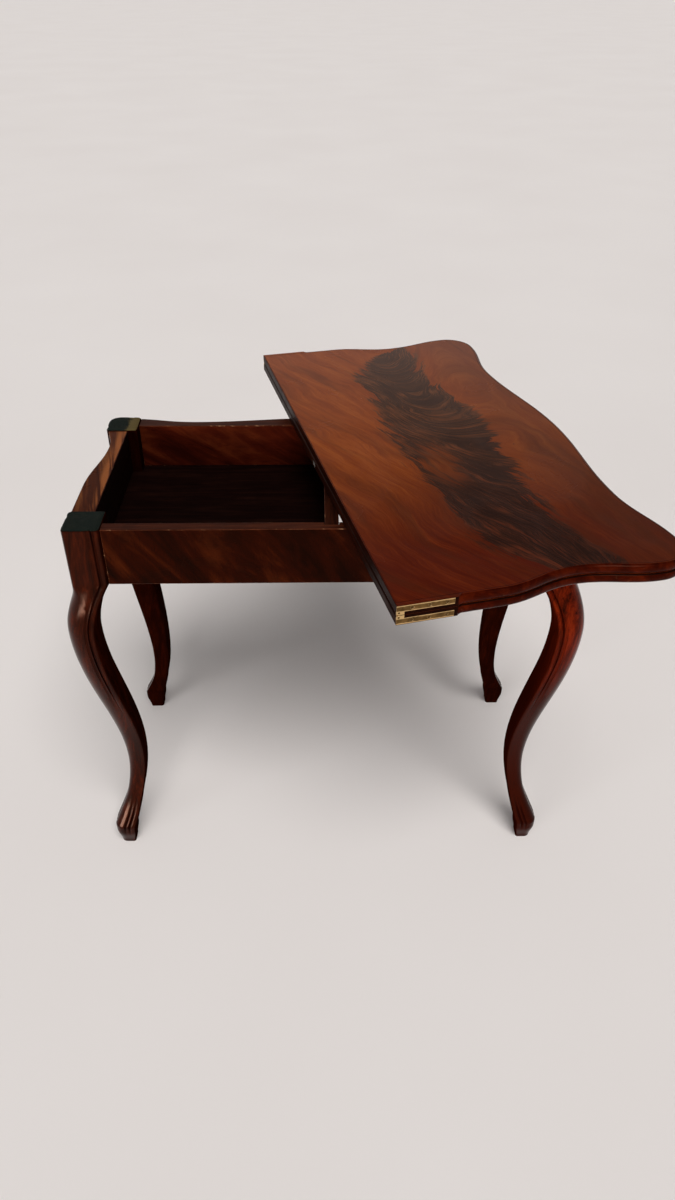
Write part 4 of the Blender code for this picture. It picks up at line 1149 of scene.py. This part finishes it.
def make_felt():
    """Lays a matted square of felt on each post, its edges soft and a little uneven."""
    for corner, right, forward in CORNERS:
        name = "felt_pad_" + corner
        low, high = (Vector(end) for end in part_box(name))
        size = (high.x - low.x, high.y - low.y)
        thick = high.z - low.z
        points = leg_section(FRAME_TOP, forward > 0)[0]
        middle = middle_of(points)
        outline = []
        for point in points:
            share = size[0] / POST_WIDTH - RANDOM.uniform(0.0, FELT_EDGE_WOBBLE)
            outline.append(middle + share * (point - middle))
        rings = []
        for scale, level in FELT_RINGS:
            ring = []
            for point in outline:
                rough = RANDOM.uniform(-FELT_TOP_WOBBLE, 0.0) if level > FELT_ROUGH_FROM else 0.0
                place = middle + scale * (point - middle)
                ring.append(in_corner(place, right, forward, low.z + thick * (level + rough)))
            rings.append(ring)
        bare_from = (low.x + high.x) / 2 + BARE_FROM * size[0] if corner == "front_left" else None
        piece = add_piece("matted", name, to_mesh(loft_shape(rings), name),
                          [felt_material("matted_" + name, bare_from)], "base")
        min(area_of(outline), size[0] * size[1])


# Metalwork

SCREW_STEPS = 24
# Shares of a screw head's radius
HEAD_DEPTH = 0.68
HEAD_FLAT = 0.94
SHANK = 0.5
SLOT_WIDTH = 0.22
# Shares of the head's depth
SLOT_DEPTH = 0.55
HEAD_ARRIS = 0.06
HEAD_RIM = 0.18
# Shares of the screw's length and of its shank's radius
TAPER_FROM = 0.8
TIP = 0.25

SCREW_METALS = {"strap": (BRASS, "aged_brass"), "plate": (IRON, "dark_iron"),
                "catch": (STEEL, "grey_steel")}
PIN_ARRIS = 0.0002
METAL_ARRIS = 0.0004
BOTTOM_ARRIS = 0.0008
BOARD_ARRIS = 0.001


def screw_mesh(name, head, length):
    """Makes a countersunk wood screw with a slot in its head, its head's middle at the origin."""
    depth = HEAD_DEPTH * head
    shank = SHANK * head
    profile = [(HEAD_FLAT * head, 0.0), (head, -HEAD_ARRIS * depth), (head, -HEAD_RIM * depth),
               (shank, -depth), (shank, -TAPER_FROM * length), (TIP * shank, -length)]
    angles = [2 * pi * step / SCREW_STEPS for step in range(SCREW_STEPS)]
    rings = [[(radius * cos(angle), radius * sin(angle), level) for angle in angles]
             for radius, level in profile]
    half = SLOT_WIDTH * head / 2
    slot = box_shape((-2 * head, -half, -SLOT_DEPTH * depth), (2 * head, half, depth))
    return cut(to_mesh(loft_shape(rings), name), [slot])


def make_screws():
    """Sets a slotted screw in the place of each plain one, its slot turned as it came to rest."""
    meshes = {}
    for name in sorted(NODES):
        if "_screw_" not in name:
            continue
        kind = name.split("_")[0]
        metal, slot = SCREW_METALS[kind]
        low, high = span(name, TOP)
        sizes = high - low
        longest = max(range(3), key=lambda axis: sizes[axis])
        if kind not in meshes:
            meshes[kind] = screw_mesh(kind + "_screw", sizes[(longest + 1) % 3] / 2, sizes[longest])
        outward = Vector((0.0, 0.0, 0.0))
        outward[longest] = 1.0
        if kind in ("catch", "plate") or low.x < 0.0:
            outward = -outward
        spot = (low + high) / 2 + outward * (sizes[longest] / 2)
        stand = UP.rotation_difference(outward).to_matrix().to_4x4()
        turn = Matrix.Rotation(RANDOM.uniform(0.0, pi), 4, "Z")
        add_piece("slotted", name, meshes[kind].copy(), [metal], body_of(NODES[name])[0],
                  TOP @ Matrix.Translation(spot) @ stand @ turn)


def dress_nodes():
    """Finishes the parts that keep their shape."""
    for side in ("left", "right"):
        for level in ("lower", "upper"):
            end = "%s_%s" % (level, side)
            dress_node("hinge_strap_" + end, STRAP_BRASS, METAL_ARRIS, RUBBED_LIT_BRASS)
            dress_node("hinge_pin_" + end, BRASS, PIN_ARRIS)
        dress_node("hinge_link_" + side, BRASS, PIN_ARRIS, RUBBED_LIT_BRASS)
    dress_node("catch_plate", STEEL, PIN_ARRIS)
    for name in ("pivot_plate", "pivot_bolt", "pivot_washer", "pivot_nut"):
        dress_node(name, IRON, METAL_ARRIS)
    dress_node("pivot_bush", BRASS, METAL_ARRIS)
    dress_node("stop_peg", PEG_WOOD, BOARD_ARRIS)
    dress_node("cross_rail", CROSS_WOOD, BOARD_ARRIS, WORN_ARRIS)
    dress_node("pivot_rail", CROSS_WOOD, BOARD_ARRIS)
    dress_node("well_bottom", WELL_SHADE_WOOD, BOTTOM_ARRIS)


# Stage

FLOOR_HALF = 60.0
KEY_TOWARDS = (-0.15, 0.60, -1.0)
KEY_STRENGTH = 2.10
KEY_ANGLE = radians(34.0)
KEY_COLOUR = (1.0, 0.975, 0.95)
WINDOW_BEARING = radians(-132.0)
WINDOW_HALF = radians(20.0)
WINDOW_FULL_HALF = radians(14.0)
WINDOW_TOP = radians(13.0)
WINDOW_FULL_TOP = radians(7.8)
WINDOW_STRENGTH = 26.0
SKY_LEVELS = (0.0, 0.32, 0.42, 0.54, 0.80, 1.0)
SKY_COLOURS = ((0.60, 0.58, 0.57), (0.55, 0.53, 0.52), (0.14, 0.135, 0.13),
               (0.07, 0.07, 0.07), (0.10, 0.10, 0.10), (0.25, 0.245, 0.24))
CAMERA_PLACE = (-0.0477, -1.3610, 1.3987)
CAMERA_YAW = radians(1.22)
CAMERA_PITCH = radians(36.29)
CAMERA_ROLL = radians(0.29)
SENSOR_WIDTH = 36.0
FOCAL_LENGTH = 26.27
CLIP_START = 0.05
CLIP_END = 300.0


def make_camera():
    """Stands the camera where the photo was taken from."""
    lens = bpy.data.cameras.new("camera")
    lens.sensor_width = SENSOR_WIDTH
    lens.lens = FOCAL_LENGTH
    lens.clip_start = CLIP_START
    lens.clip_end = CLIP_END
    camera = add_object("camera", lens)
    camera.matrix_world = (Matrix.Translation(CAMERA_PLACE)
                           @ Matrix.Rotation(-CAMERA_YAW, 4, "Z")
                           @ Matrix.Rotation(pi / 2 - CAMERA_PITCH, 4, "X")
                           @ Matrix.Rotation(CAMERA_ROLL, 4, "Z"))
    bpy.context.scene.camera = camera


def make_floor():
    shape = bmesh.new()
    bmesh.ops.create_grid(shape, x_segments=1, y_segments=1, size=FLOOR_HALF)
    mesh = bpy.data.meshes.new("floor")
    shape.to_mesh(mesh)
    shape.free()
    mesh.materials.append(FLOOR)
    add_object("floor", mesh)


def make_key():
    """Adds a soft distant light from above the camera."""
    light = bpy.data.lights.new("key", "SUN")
    light.energy = KEY_STRENGTH
    light.angle = KEY_ANGLE
    light.color = KEY_COLOUR
    add_object("key", light).rotation_euler = Vector(KEY_TOWARDS).to_track_quat("-Z", "Y").to_euler()


def window(direction, up):
    """Gives the light of a wide soft window, low behind and to the left of the camera."""
    ahead = (cos(WINDOW_BEARING), sin(WINDOW_BEARING), 0.0)
    facing = Value(add_node(direction.tree, "VectorMath", {0: direction, 1: ahead},
                            operation="DOT_PRODUCT"), "Value")
    wide = smooth(facing, cos(WINDOW_HALF), cos(WINDOW_FULL_HALF), 0.0, WINDOW_STRENGTH)
    return wide * smooth(up, sin(WINDOW_TOP), sin(WINDOW_FULL_TOP))


def make_world():
    """Surrounds the table with a soft studio: pale low down, dark above, with a window in it."""
    world = bpy.data.worlds.new("studio")
    bpy.context.scene.world = world
    world.use_nodes = True
    direction = Value(add_node(world.node_tree, "TexCoord"), "Generated")
    up = axis_of(direction, "Z")
    light = mix(1.0, ramp(up, SKY_LEVELS, SKY_COLOURS), window(direction, up), "ADD")
    world.node_tree.links.new(light.socket, world.node_tree.nodes["Background"].inputs["Color"])


make_leaves()
make_rails()
make_legs()
make_felt()
make_screws()
dress_nodes()
make_floor()
make_key()
make_world()
make_camera()
bpy.context.scene.view_settings.view_transform = "Standard"
